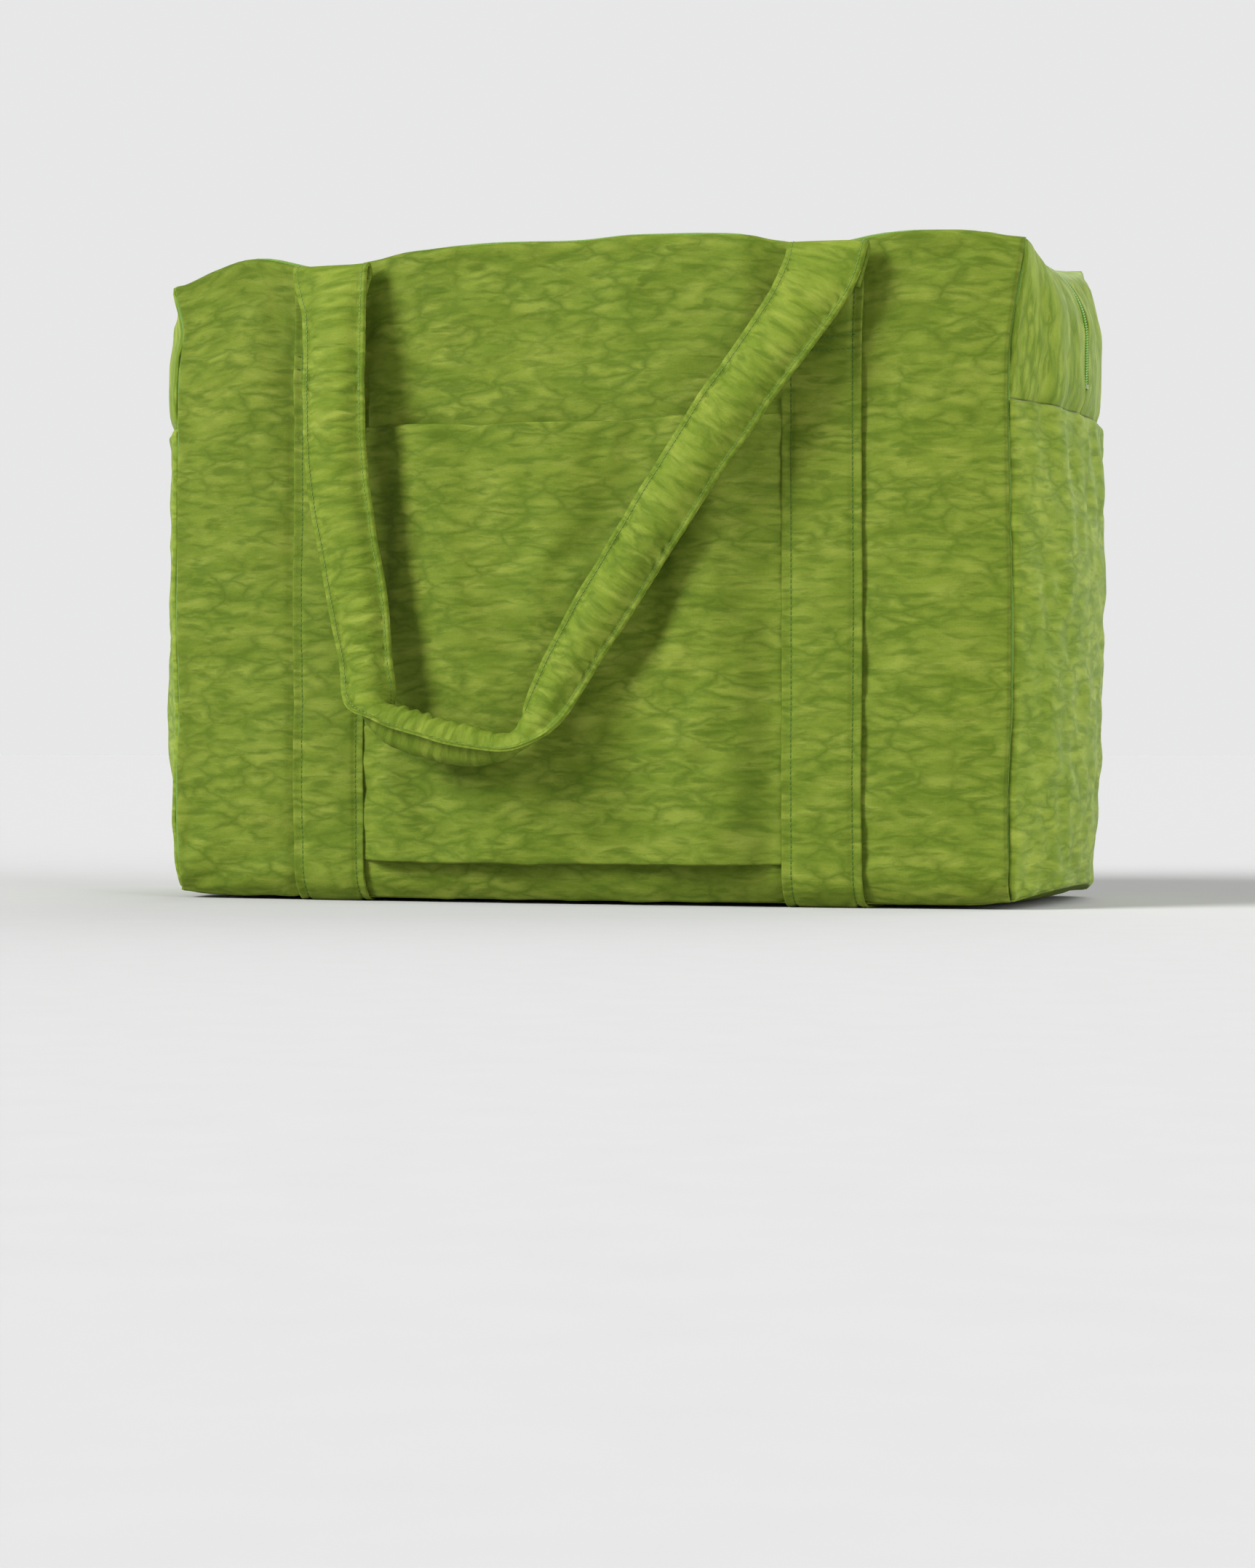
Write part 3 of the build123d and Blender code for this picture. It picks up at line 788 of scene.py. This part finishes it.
def centre_line(hand):
    """The zip's centreline from its lower end to the middle of the top, a point per tooth."""
    if hand > 0:
        s = np.arange(S_RIGHT + SEAM_ROW, MID_TOP + 1)
    else:
        s = np.arange(NS - SEAM_ROW, MID_TOP - 1, -1)
    track = (RING[s % NS, K_REAR] + RING[s % NS, K_FRONT]) / 2
    weights = spline_rows(len(track), np.linspace(0, len(track) - 1, 900))
    fine = np.einsum("ai,ij->aj", weights, track)
    fine[:, 1] = 0
    fine = fine[(fine[:, 2] > ZIP_END + 1.0)]
    run = travelled(fine)
    at = np.arange(0, run[-1], COIL_PITCH)
    pts = np.stack([np.interp(at, run, fine[:, c]) for c in range(3)], 1)
    pts = np.concatenate([pts, [[0, 0, fine[-1, 2]]]])
    along = unit(np.gradient(pts, axis=0))
    out = np.cross(along, Y_AXIS) * -hand
    out *= np.sign((out * (pts - np.array([0, 0, 150]))).sum(1, keepdims=True))
    return pts, along, out


def capsule(p, along, out, length, wide, high, sides=6):
    """Small rounded bead of thread or nylon lying along one direction."""
    across = np.cross(along, out)
    verts, faces = [], []
    for end, scale in ((-0.5, 0.45), (-0.3, 1.0), (0.3, 1.0), (0.5, 0.45)):
        for q in range(sides):
            a = 2 * math.pi * q / sides
            verts.append(
                p + along * length * end + across * wide / 2 * scale * math.cos(a)
                + out * high / 2 * scale * math.sin(a)
            )
    for r in range(3):
        for q in range(sides):
            a, b = r * sides + q, r * sides + (q + 1) % sides
            faces.append((b, a, a + sides, b + sides))
    faces.append(tuple(range(sides)))
    faces.append(tuple(3 * sides + q for q in range(sides))[::-1])
    return verts, faces


def beads(name, items):
    """One mesh from many capsules: items are (point, along, out, length, wide, high)."""
    verts, faces = [], []
    for item in items:
        points, around = capsule(*item)
        faces.extend(tuple(i + len(verts) for i in face) for face in around)
        verts.extend(points)
    return new_mesh(name, np.array(verts), faces)


def ribbon(name, centre, across, out, edges, thick):
    """A flat tape beside a line: edges are its two distances across from the line."""
    low, high = edges
    grid = np.stack([centre + across * reach for reach in np.linspace(low, high, 5)], 1)
    lengthwise = np.gradient(grid[:, 0], axis=0)
    flip = (np.cross(lengthwise, grid[:, 1] - grid[:, 0]) * out).sum() < 0
    return shell(name, grid, thick, flip=bool(flip))


def zip_half(hand, front, pts, along, out):
    """One side's coil and tape, on the rear or the front half of the zip."""
    side, half, blend = SIDES[hand], HALVES[front], mouth_blend(hand, front)
    across = np.tile(Y_AXIS * (1.0 if front else -1.0), (len(pts), 1))
    step = TEETH_OFFSET if front else 0.0
    items = []
    for i in range(len(pts)):
        p = pts[i] + along[i] * step + across[i] * 1.35 - out[i] * 0.35
        items.append((p, across[i], out[i], 3.3, 1.5, 1.9))
    teeth = beads(f"zip_coil_{side}_{half}_teeth", items)
    coil_nodes = [f"zip_coil_{side}", f"flap_coil_{half}"]
    finish_piece(teeth, COIL, blend=blend, nodes=coil_nodes)
    name = f"zip_tape_{side}_{half}_weave"
    tape = ribbon(name, pts - out * 1.3, across, out, (0.4, 9.5), 0.5)
    tape_nodes = [f"zip_tape_{side}", f"flap_tape_{half}"]
    finish_piece(tape, TAPE, blend=blend, nodes=tape_nodes)


def bartack(hand, start, up, face):
    """Threads laid side by side across the zip's closed end."""
    threads = []
    for k in range(7):
        p = start - up * (0.4 + 0.36 * k) + face * (0.55 + 0.1 * (k % 2))
        threads.append((p, Y_AXIS, face, 8.4, 0.5, 0.6))
    bar = beads(f"zip_bartack_{SIDES[hand]}_thread", threads)
    finish_piece(bar, THREAD, "bag", nodes=[f"zip_bartack_{SIDES[hand]}"])


for hand in SIDES:
    pts, along, out = centre_line(hand)
    for front in HALVES:
        zip_half(hand, front, pts, along, out)
    bartack(hand, pts[0], along[0], out[0])


# ---- stitches -------------------------------------------------------------------------
def stitch_row(points, out, pitch=2.9, size=(2.3, 0.6, 0.42), lift=0.15):
    """Stitches along a line of points: a list of capsules, each lying in the cloth."""
    run = travelled(points)

    def at(t, values):
        return np.array([np.interp(t, run, values[:, c]) for c in range(3)])

    items = []
    for t in np.arange(pitch / 2, run[-1], pitch):
        p = at(t, points)
        along = unit(at(t + 0.8, points) - at(t - 0.8, points))
        face = unit(at(t, out))
        across = np.cross(along, face)
        along = unit(along + across * 0.10)
        face = unit(face - along * (face @ along))
        items.append((p + face * lift, along, face, *size))
    return items


# ---- reinforcing bands ----------------------------------------------------------------
BAND_TOP = 351.0
BOX_LOW, BOX_HIGH = 304.6, 311.0  # heights of the two rows of stitches across each band
BAND_STEPS = 360
BAND_WIDTH = BAND_OUT - BAND_IN
SEWN_AT = 3.4  # the stitches run this far in from each edge
HALF_ACROSS = np.array([-1.6, -0.8, 1.0, SEWN_AT, 5.0, 7.0, 10.5, 15.0])


def band_path(hand):
    """Bag surface under one band: across its width, then down the rear, under and up."""
    low, high = (BAND_IN, BAND_OUT) if hand > 0 else (-BAND_OUT, -BAND_IN)
    i0, i1 = int(np.argmin(abs(XS - low))), int(np.argmin(abs(XS - high)))
    under = RING[i0 : i1 + 1, 1:-1]
    return np.concatenate([REAR[i0 : i1 + 1, ::-1], under, FRONT[i0 : i1 + 1]], axis=1)


def band(hand):
    """One band of doubled nylon with turned edges, and the stitches that hold it."""
    side = SIDES[hand]
    grid = band_path(hand)
    above = NZ - 1 - np.interp(BAND_TOP, ZS, np.arange(NZ))
    v = np.linspace(above, grid.shape[1] - 1 - above, BAND_STEPS)
    w = np.concatenate([HALF_ACROSS, [BAND_WIDTH / 2], BAND_WIDTH - HALF_ACROSS[::-1]])
    pts = resample(grid, w / BAND_WIDTH * 6, v)
    for _ in range(3):  # the band rounds the bag's lower seams
        pts[:, 1:-1] = pts[:, 1:-1] * 0.5 + (pts[:, :-2] + pts[:, 2:]) * 0.25
    out = normals(pts, flip=True)
    run = grid_lengths(pts)[0, :, 1] / MM
    edge = np.minimum(w, BAND_WIDTH - w)[:, None]
    puff = 1.9 + 0.7 * ease((edge - SEWN_AT) / 8) - 1.1 * bell(edge - SEWN_AT, 1.0)
    puff = puff - 0.35 * bell(edge, 0.8)
    ripple = noise(run[None, :] / 8.5, w[:, None] / 30, seed=801 + hand)
    puff = puff + 0.38 * ripple * fade(edge, 9)
    puff = puff + 0.3 * fbm(w[:, None] / 14, run[None, :] / 17, seed=811)
    down = np.abs(pts[..., 2].mean(0) - FLOOR_Z) < 6
    puff = np.where(down[None, :], np.minimum(puff, 1.9), puff)
    pts = pts + out * puff[..., None]
    pts[..., 2] = np.maximum(pts[..., 2], 0.05)
    uv = np.stack(np.meshgrid(w * MM, run * MM, indexing="ij"), -1)
    cloth = shell(f"strap_band_{side}_cloth", pts, 1.3, flip=True, uv=uv, shift=(hand * 0.5, 0.0))
    finish_piece(cloth, BAND, "bag", nodes=[f"strap_band_{side}"])
    items = []
    for column in (3, 13):
        items += stitch_row(pts[column], out[column], size=(2.3, 0.9, 0.42))
    columns = np.arange(2, len(w) - 2)
    for z in (BOX_LOW, BOX_HIGH):  # the two rows across the band, below the handle's end
        for part in (slice(0, BAND_STEPS // 3), slice(2 * BAND_STEPS // 3, BAND_STEPS)):
            nearest = np.argmin(abs(pts[columns, part, 2] - z), axis=1) + part.start
            line, face = pts[columns, nearest], out[columns, nearest]
            items += stitch_row(line + face * 2.1, face)
    stitching = beads(f"strap_band_{side}_stitching", items)
    # the band's stitching takes the darkened thread: painted shade along the band edges
    finish_piece(stitching, BAND_THREAD_PAINTED_SHADE, "bag")


for hand in SIDES:
    band(hand)


# ---- luggage strap panel and front pocket ---------------------------------------------
def surface_y(front, x, z):
    """Depth of the rear or front panel's cloth at a place on it, as a positive number."""
    grid = FRONT if front else REAR
    i, j = np.interp(x, XS, np.arange(NX)), np.interp(z, ZS, np.arange(NZ))
    a = spline_rows(NX, i.ravel())
    b = spline_rows(NZ, j.ravel())
    return np.abs(np.einsum("ni,nj,ij->n", a, b, grid[..., 1])).reshape(np.shape(x))


SLEEVE_LOW, SLEEVE_HIGH = 25.0, 270.5
RODS = ((-80.0, 0.20), (84.0, 0.05))  # where the trolley's tubes press, and their lean


def patch_panel(front):
    """The luggage strap panel, or the slip pocket on the front, before its fine detail."""
    low, high = SLEEVE_LOW - (0.0 if front else 1.5), SLEEVE_HIGH
    nu, nv = 43, 36
    edge = BAND_IN + 2.2
    x, z = np.meshgrid(np.linspace(-edge, edge, nu), np.linspace(low, high, nv), indexing="ij")
    skin = surface_y(front, x, z)
    rise = ease((edge - 1.5 - np.abs(x)) / (18.0 if front else 25.0)) ** 0.85
    if front:
        stand = 6.3 * rise * ease((z - low) / 26)
        stand = stand + 1.6 * fbm(x / 60, z / 70, seed=951) * rise
    else:
        ridges = 0.0
        for rod, lean in RODS:
            off = x - rod - lean * (250 - z)
            ridges = ridges + np.where(off < 0, bell(off, 26), bell(off, 17))
        stand = rise * (6.6 + 8.4 * ridges)
        stand = stand + 1.9 * fbm(x / 34 - z / 260, z / 110, seed=941) * rise
        stand = stand + 1.2 * rise * fade(high - z, 30) * np.cos(x / 34)
    y = skin + 0.3 + stand
    nudge = 0.25 * noise(x / 14, z / 12, seed=944)
    pts = np.stack([x, (1 if front else -1) * (y + nudge * rise), z], -1)
    pin = np.zeros((nu, nv))
    pin[[0, 1, -2, -1]] = 1
    if front:
        pin[:, :2] = 1
    slack = np.full((nu, nv), 0.012)
    for rod, _ in RODS:
        slack += 0.008 * bell(x - rod, 30)
    moved = inflate(
        "patch_solver", pts.reshape(-1, 3), quads(nu, nv, flip=front), pin.ravel(), slack.ravel(),
        pressure=0.5, frames=16, cap=3.0, bend=0.8, gravity=0.3,
    )
    return moved.reshape(nu, nv, 3)


def patch_piece(name, front, node):
    """The sewn-on patch with its hems and puckers. Returns the piece and its points."""
    grid = patch_panel(front)
    pts = resample(grid, fine_index(grid.shape[0] - 1), fine_index(grid.shape[1] - 1))
    x, z = pts[..., 0], pts[..., 2]
    low, high = z.min(), z.max()
    hem = np.minimum(high - z, z - low)
    side = BAND_IN + 1.5 - np.abs(x)
    out = 0.45 * fbm(x / 17, z / 9, seed=961) - 0.9 * bell(hem, 1.3)
    out = out + 0.8 * noise(z / 13, np.sign(x), seed=965) * fade(side, 10) * ease(side / 5)
    slanted = noise(z / 26 + np.abs(x) / 15, np.sign(x) * 2.0, seed=967)
    out = out + 0.5 * slanted * fade(side, 26) * ease(side / 9)
    out = out + 0.7 * noise(x / 19, 0.5, seed=969) * fade(hem, 16) * ease(hem / 3)
    pts = pts + normals(pts, flip=front) * out[..., None]
    skin = surface_y(front, x, z) + 0.1
    pts[..., 1] = np.maximum(np.abs(pts[..., 1]), skin) * (1 if front else -1)
    uv = np.stack([x * MM, z * MM], -1)
    cloth = shell(name, pts, 1.3, flip=front, uv=uv, shift=(0.31, 0.17))
    finish_piece(cloth, SLEEVE, "bag", nodes=[node])
    return cloth, pts


sleeve, _ = patch_piece(
    "luggage_strap_panel_cloth", False, "luggage_strap_panel"
)
pocket, pocket_pts = patch_piece("front_pocket_cloth", True, "front_pocket_panel")
row = int(np.argmin(abs(pocket_pts[5, :, 2] - (SLEEVE_LOW + 3.0))))
hem_line = pocket_pts[3:-3, row]
hem_stitches = stitch_row(hem_line, np.tile(Y_AXIS, (len(hem_line), 1)))
finish_piece(beads("front_pocket_stitching", hem_stitches), THREAD, "bag")


# ---- handles --------------------------------------------------------------------------
FOLD_Z, FOLD_R = 357.2, 4.1
BACK_Y = -112.6
FOLD = ((0.0, 0.0), (0.3, 0.72), (1.0, 1.0), (1.7, 0.72), (2.0, 0.0))  # back and up, in radii


def fold(places):
    """Stations over the fold on top of a band, from (x, width, thickness) for each."""
    return [
        (x, BACK_Y - FOLD_R * back, FOLD_Z + FOLD_R * up, width, thick, 0)
        for (x, width, thick), (back, up) in zip(places, FOLD)
    ]


FOLD_THICK = (2.0, 2.0, 2.2, 2.4, 3.0)
LEFT = zip((-142.0, -141.4, -141.0, -140.8, -140.4), (45.0, 45.6, 45.8, 45.8, 45.4), FOLD_THICK)
RIGHT = zip((152.0, 152.4, 152.6, 152.6, 152.4), (44.0, 44.2, 44.4, 44.5, 44.5), FOLD_THICK)
# Rear handle's route: x, y, z, width, thickness, turn towards edge-on (degrees).
ROUTE = [
    (-144.6, BACK_Y, 341.0, 41.0, 2.0, 0),
    (-143.0, BACK_Y, 350.0, 43.5, 2.0, 0),
    *fold(LEFT),
    (-138.8, -122.8, 349.0, 42.5, 7.5, 0),
    (-136.2, -126.0, 337.0, 39.0, 11.5, 0),
    (-134.2, -130.0, 318.0, 37.8, 13.5, 0),
    (-132.6, -134.2, 292.0, 37.8, 14.0, 0),
    (-130.6, -137.8, 262.0, 38.0, 14.0, 0),
    (-127.8, -138.8, 236.0, 38.0, 14.0, 0),
    (-122.6, -139.0, 205.0, 37.2, 14.0, 0),
    (-115.8, -139.6, 171.0, 35.4, 14.0, 0),
    (-110.6, -141.4, 143.0, 33.0, 13.5, 0),
    (-107.6, -144.0, 125.5, 31.0, 11.5, 8),
    (-104.0, -147.4, 113.5, 29.5, 8.5, 45),
    (-97.6, -149.2, 105.6, 29.5, 17.0, 84),
    (-86.0, -149.6, 99.3, 30.5, 23.0, 92),
    (-64.0, -149.6, 92.6, 30.5, 24.0, 94),
    (-43.0, -149.6, 88.6, 30.0, 22.0, 92),
    (-28.0, -149.4, 87.6, 29.0, 16.0, 88),
    (-15.0, -148.4, 92.0, 28.0, 11.5, 66),
    (-5.0, -146.4, 103.0, 28.0, 14.5, 30),
    (4.6, -143.2, 120.0, 29.0, 15.5, 8),
    (16.6, -140.4, 142.5, 31.0, 14.8, 0),
    (36.6, -139.0, 174.0, 33.0, 14.2, 0),
    (60.0, -138.8, 210.0, 34.0, 14.0, 0),
    (84.0, -138.2, 246.0, 35.0, 14.0, 0),
    (107.5, -135.0, 280.0, 36.4, 14.0, 0),
    (127.0, -130.0, 307.5, 37.6, 13.5, 0),
    (141.0, -125.6, 329.0, 39.5, 10.5, 0),
    (149.4, -122.6, 345.5, 42.5, 6.0, 0),
    *fold(RIGHT)[::-1],
    (150.6, BACK_Y, 350.0, 42.5, 2.0, 0),
    (148.8, BACK_Y, 341.0, 41.0, 2.0, 0),
]
LEFT_FOLD, RIGHT_FOLD = 6, 34  # the stations where the padded run leaves each fold
FLANGE = 3.5
STATION_GAP = 4.6
GIRTH = 28  # points round the handle: 14 on each face, with 2 or 3 on each flange
FINE = 2 * GIRTH


def handle_stations():
    """Evenly spaced stations along the route, with their three directions."""
    route = np.array(ROUTE)
    index = np.linspace(0, len(route) - 1, 2400)
    dense = spline_rows(len(route), index) @ route
    run = travelled(dense[:, :3])
    at = np.linspace(0, run[-1], int(run[-1] / STATION_GAP))
    st = np.stack([np.interp(at, run, dense[:, c]) for c in range(6)], 1)
    st_index = np.interp(at, run, index)
    along = unit(np.gradient(st[:, :3], axis=0))
    flat = unit(np.cross(along, Y_AXIS))
    left = np.array([1.0, 0, 0])
    flat = np.where((st_index < LEFT_FOLD + 0.5)[:, None], left, flat)
    flat = np.where((st_index > RIGHT_FOLD - 0.5)[:, None], -left, flat)
    for _ in range(4):
        flat[1:-1] = flat[1:-1] * 0.4 + (flat[:-2] + flat[2:]) * 0.3
    flat = unit(flat - along * (flat * along).sum(1, keepdims=True))
    inward = np.cross(flat, along)
    turn = np.radians(st[:, 5])[:, None]
    wide = flat * np.cos(turn) + inward * np.sin(turn)
    deep = np.cross(along, wide)
    return st, at, wide, deep


def cross_section(half, thick, run, padded):
    """Outline at one station: (across, up) pairs round a padded core between two flanges."""
    h = half + 0.5 * noise(run / 21, 0.2, seed=31) * padded
    core = np.linspace(-1, 1, 9)
    core_half = h - FLANGE - 1.4
    bump = 0.5 * noise(run / 7.5, 0.0, seed=33) * padded
    arch = 1.0 + (max(1.0, thick / 2) - 1.0 + bump) * (1 - np.abs(core) ** 2.4) ** 0.8
    sway_a = 0.8 * noise(run / 16, 0.7, seed=35) * padded
    sway_b = 0.8 * noise(run / 16, 5.7, seed=36) * padded
    points = [(-h, 0.95 + sway_a), (-h + FLANGE, 1.0 + sway_a * 0.4)]
    points += list(zip(core * core_half, arch))
    points += [(h - FLANGE, 1.0 + sway_b * 0.4), (h, 0.95 + sway_b), (h - 0.7, sway_b)]
    points += [(h, -0.95 + sway_b), (h - FLANGE, -1.0 + sway_b * 0.4)]
    points += list(zip(core[::-1] * core_half, -arch))
    points += [(-h + FLANGE, -1.0 + sway_a * 0.4), (-h, -0.95 + sway_a), (-h + 0.7, sway_a)]
    return points


def handle_grid():
    """The rear handle's surface after the solver, its thicknesses, turns and run."""
    st, at, wide, deep = handle_stations()
    n = len(st)
    padded = ease((st[:, 4] - 3.0) / 6.0)
    grid = np.zeros((n, GIRTH, 3))
    for i in range(n):
        outline = cross_section(st[i, 3] / 2, st[i, 4], at[i], padded[i])
        for k, (a, d) in enumerate(outline):
            grid[i, k] = st[i, :3] + wide[i] * a + deep[i] * d
    faces_up, faces_down = slice(2, 11), slice(16, 25)
    pin = np.ones((n, GIRTH))
    slack = np.full((n, GIRTH), 0.02)
    for core, longer in ((faces_up, 0.062), (faces_down, 0.045)):
        pin[padded > 0.35, core] = 0
        slack[:, core] = longer
    verts = np.concatenate([grid.reshape(-1, 3), grid[0].mean(0)[None], grid[-1].mean(0)[None]])
    first, last = n * GIRTH, n * GIRTH + 1
    k = np.arange(GIRTH)
    after = (k + 1) % GIRTH
    end = (n - 1) * GIRTH
    cap_a = [(first, q, p) for p, q in zip(k, after)]
    cap_b = [(last, end + p, end + q) for p, q in zip(k, after)]
    faces = [tuple(f) for f in quads(n, GIRTH, wrap_v=True)] + cap_a + cap_b
    moved = inflate(
        "handle_solver", verts, faces, np.append(pin, [1, 1]), np.append(slack, [0, 0]),
        pressure=5.0, frames=26, cap=4.0, bend=0.25,
    )
    return moved[:first].reshape(n, GIRTH, 3), st, at


HANDLE, HANDLE_ST, HANDLE_RUN = handle_grid()


def handle_piece(front):
    """The strap from its stitched end up over the fold, round the padded V and back."""
    side = HALVES[front]
    n = len(HANDLE)
    u = np.linspace(0, n - 1, (n - 1) * 2 + 1)
    pts = resample(HANDLE, u, np.arange(0, GIRTH, 0.5), wrap_v=True)
    run, thick, turned = (
        np.interp(u, np.arange(n), values)[:, None]
        for values in (HANDLE_RUN, HANDLE_ST[:, 4], HANDLE_ST[:, 5] / 90)
    )
    across = travelled(pts[len(u) // 3])
    out = normals(pts, wrap_v=True)
    column = np.arange(FINE)
    place = column % GIRTH
    padded = ease((thick - 3.0) / 6.0)
    # ribs: arched rolls across the padded core, fading in and out along it
    arch = run + 5.5 * (np.abs(place - 12) / 8.0) ** 2 + 2.2 * noise(run / 17, 0.4, seed=57)
    patchy = ease(noise(run / 24, column / 26, seed=58) + 0.42)
    rib = np.sin(2 * np.pi * arch / 8.3) * (0.2 + 0.8 * patchy)
    rib = np.where(rib < 0, rib * 1.25, rib * 0.8)
    crease = 1 - 1.6 * bell(noise(run / 9, column / 9, seed=53), 0.16)
    strength = np.where((place <= 2) | (place >= 22), 0.2, 1.0)  # little on the flanges
    lower_swell = 0.62 * (1 - 0.85 * np.clip(turned, 0, 1))
    swell = np.where(column < 24, 0.62 + 0.5 * turned, lower_swell)
    pts = pts + out * ((rib * swell + 0.22 * crease) * padded * strength)[..., None]
    if front:
        pts = pts * np.array([1, -1, 1])
        out = out * np.array([1, -1, 1])
    faces = [tuple(f) for f in quads(len(u), FINE, flip=front, wrap_v=True)]
    cap_a, cap_b = tuple(column)[::-1], tuple((len(u) - 1) * FINE + column)
    faces += [cap_a[::-1], cap_b[::-1]] if front else [cap_a, cap_b]
    uv = np.stack(np.meshgrid(across * MM, run[:, 0] * MM), -1) + (1.1 if front else 0.2)
    cloth = new_mesh(f"{side}_handle_cloth", pts.reshape(-1, 3), faces, uv.reshape(-1, 2))
    bend_from, bend_to = ((1 if front else -1) * (HINGE_Y + d) * MM for d in (-2.0, 2.6))
    joint = ("bag", f"{side}_handle", (0, bend_from, 0), (0, bend_to, 0))
    finish_piece(
        cloth, STRAP, blend=joint,
        nodes=[f"{side}_handle_cover", f"{side}_handle_foam"],
    )
    items = []
    for groove, flange in ((2, 1), (22, 23), (30, 29), (50, 51)):
        line = 0.6 * pts[:, groove] + 0.4 * pts[:, flange]
        items += stitch_row(line, out[:, flange], pitch=2.6, size=(2.1, 0.55, 0.32), lift=0.12)
    finish_piece(beads(f"{side}_handle_stitching", items), THREAD, blend=joint)


for front in HALVES:
    handle_piece(front)


# ---- binding inside, slider -----------------------------------------------------------
def tube(name, centres, radius, sides=8):
    """Closed loop of round piping through the given points."""
    along = unit(np.roll(centres, -1, axis=0) - np.roll(centres, 1, axis=0))
    a = unit(np.cross(along, Y_AXIS))
    b = np.cross(along, a)
    angle = (np.arange(sides) * 2 * math.pi / sides)[None, :, None]
    ring = centres[:, None] + radius * (
        a[:, None] * np.cos(angle) + b[:, None] * 0.55 * np.sin(angle)
    )
    i, j = (c.ravel() for c in np.indices((len(centres), sides)))
    k, p = (j + 1) % sides, (i + 1) % len(centres)
    faces = np.stack([i * sides + j, i * sides + k, p * sides + k, p * sides + j], 1)
    return new_mesh(name, ring.reshape(-1, 3), faces)


BEHIND_SEAM = 2.7
for front, side in HALVES.items():
    loop = border(FRONT if front else REAR)
    inwards = np.array([0, 0, HEIGHT / 2]) - loop
    inwards[:, 1] = 0
    inside = loop + Y_AXIS * (-BEHIND_SEAM if front else BEHIND_SEAM)
    inside = inside + np.sign(inwards) * np.minimum(np.abs(inwards) * 0.05, BEHIND_SEAM)
    binding = tube(f"seam_binding_{side}_tape", inside, 2.1)
    finish_piece(binding, BINDING, "bag", nodes=[f"seam_binding_{side}"])

for node in ("zip_slider", "zip_pull"):
    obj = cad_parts[node]
    obj.data.materials.clear()
    obj.data.materials.append(ENAMEL)


# ---- floor, light and camera ----------------------------------------------------------
PAPER = 0.515  # the floor's reflectance: it renders as pale as the wall under these lights


FLOOR_HALF = 60000.0
LIGHTS = (  # name, direction it shines in, strength, spread in degrees
    ("key_light", (1.0, 0.95, -0.85), 4.5, 26),
    ("fill_light", (-1.6, 0.45, -0.6), 2.5, 60),
    ("back_light", (-0.35, -1.0, -0.7), 1.7, 70),
)


def floor():
    corners = [(FLOOR_HALF * x, FLOOR_HALF * y, 0) for x, y in ((-1, -1), (1, -1), (1, 1), (-1, 1))]
    sheet = new_mesh("studio_floor", corners, [(0, 1, 2, 3)], smooth=False)
    m = Nodes("studio_paper")
    where = m.add("ShaderNodeTexCoord").outputs["Object"]
    grain = m.noise(where, 40.0, 4.0)
    m.link(m.ramp(grain, (0.3, grey(PAPER * 0.99)), (0.7, grey(PAPER * 1.01))), "Base Color")
    m.shader.inputs["Roughness"].default_value = 1.0
    m.shader.inputs["Specular IOR Level"].default_value = 0.0
    sheet.data.materials.append(m.mat)


def wall():
    """A pale wall low down all round, and a dimmer ceiling."""
    world = bpy.data.worlds.new("studio_world")
    world.use_nodes = True
    tree = world.node_tree
    ray = tree.nodes.new("ShaderNodeTexCoord").outputs["Generated"]
    split = tree.nodes.new("ShaderNodeSeparateXYZ")
    tree.links.new(ray, split.inputs[0])
    ramp = tree.nodes.new("ShaderNodeValToRGB")
    tree.links.new(split.outputs["Z"], ramp.inputs[0])
    stops = ((0.22, (0.80, 0.80, 0.803, 1)), (0.55, (0.14, 0.14, 0.141, 1)))
    for element, (height, colour) in zip(ramp.color_ramp.elements, stops):
        element.position = height
        element.color = colour
    back = tree.nodes["Background"]
    tree.links.new(ramp.outputs[0], back.inputs["Color"])
    back.inputs["Strength"].default_value = 1.0
    bpy.context.scene.world = world


def lights():
    for name, aim, power, spread in LIGHTS:
        light = bpy.data.lights.new(name, "SUN")
        light.energy = power
        light.angle = math.radians(spread)
        lamp = bpy.data.objects.new(name, light)
        lamp.rotation_euler = Vector(aim).to_track_quat("-Z", "Y").to_euler()
        bpy.context.scene.collection.objects.link(lamp)


def camera():
    """The photo's viewing angle: from the right of the rear panel, level with its lower half."""
    lens = bpy.data.cameras.new("camera")
    lens.lens = 80.3
    lens.sensor_width = 36.0
    lens.clip_end = 200.0
    eye = bpy.data.objects.new("camera", lens)
    eye.location = (0.680, -1.9425, 0.0862)
    yaw, pitch = math.radians(19.4), math.radians(0.55)
    level = math.cos(pitch)
    look = Vector((-math.sin(yaw) * level, math.cos(yaw) * level, -math.sin(pitch)))
    eye.rotation_euler = look.to_track_quat("-Z", "Y").to_euler()
    bpy.context.scene.collection.objects.link(eye)
    bpy.context.scene.camera = eye


floor()
wall()
lights()
camera()
bpy.context.scene.view_settings.view_transform = "Standard"
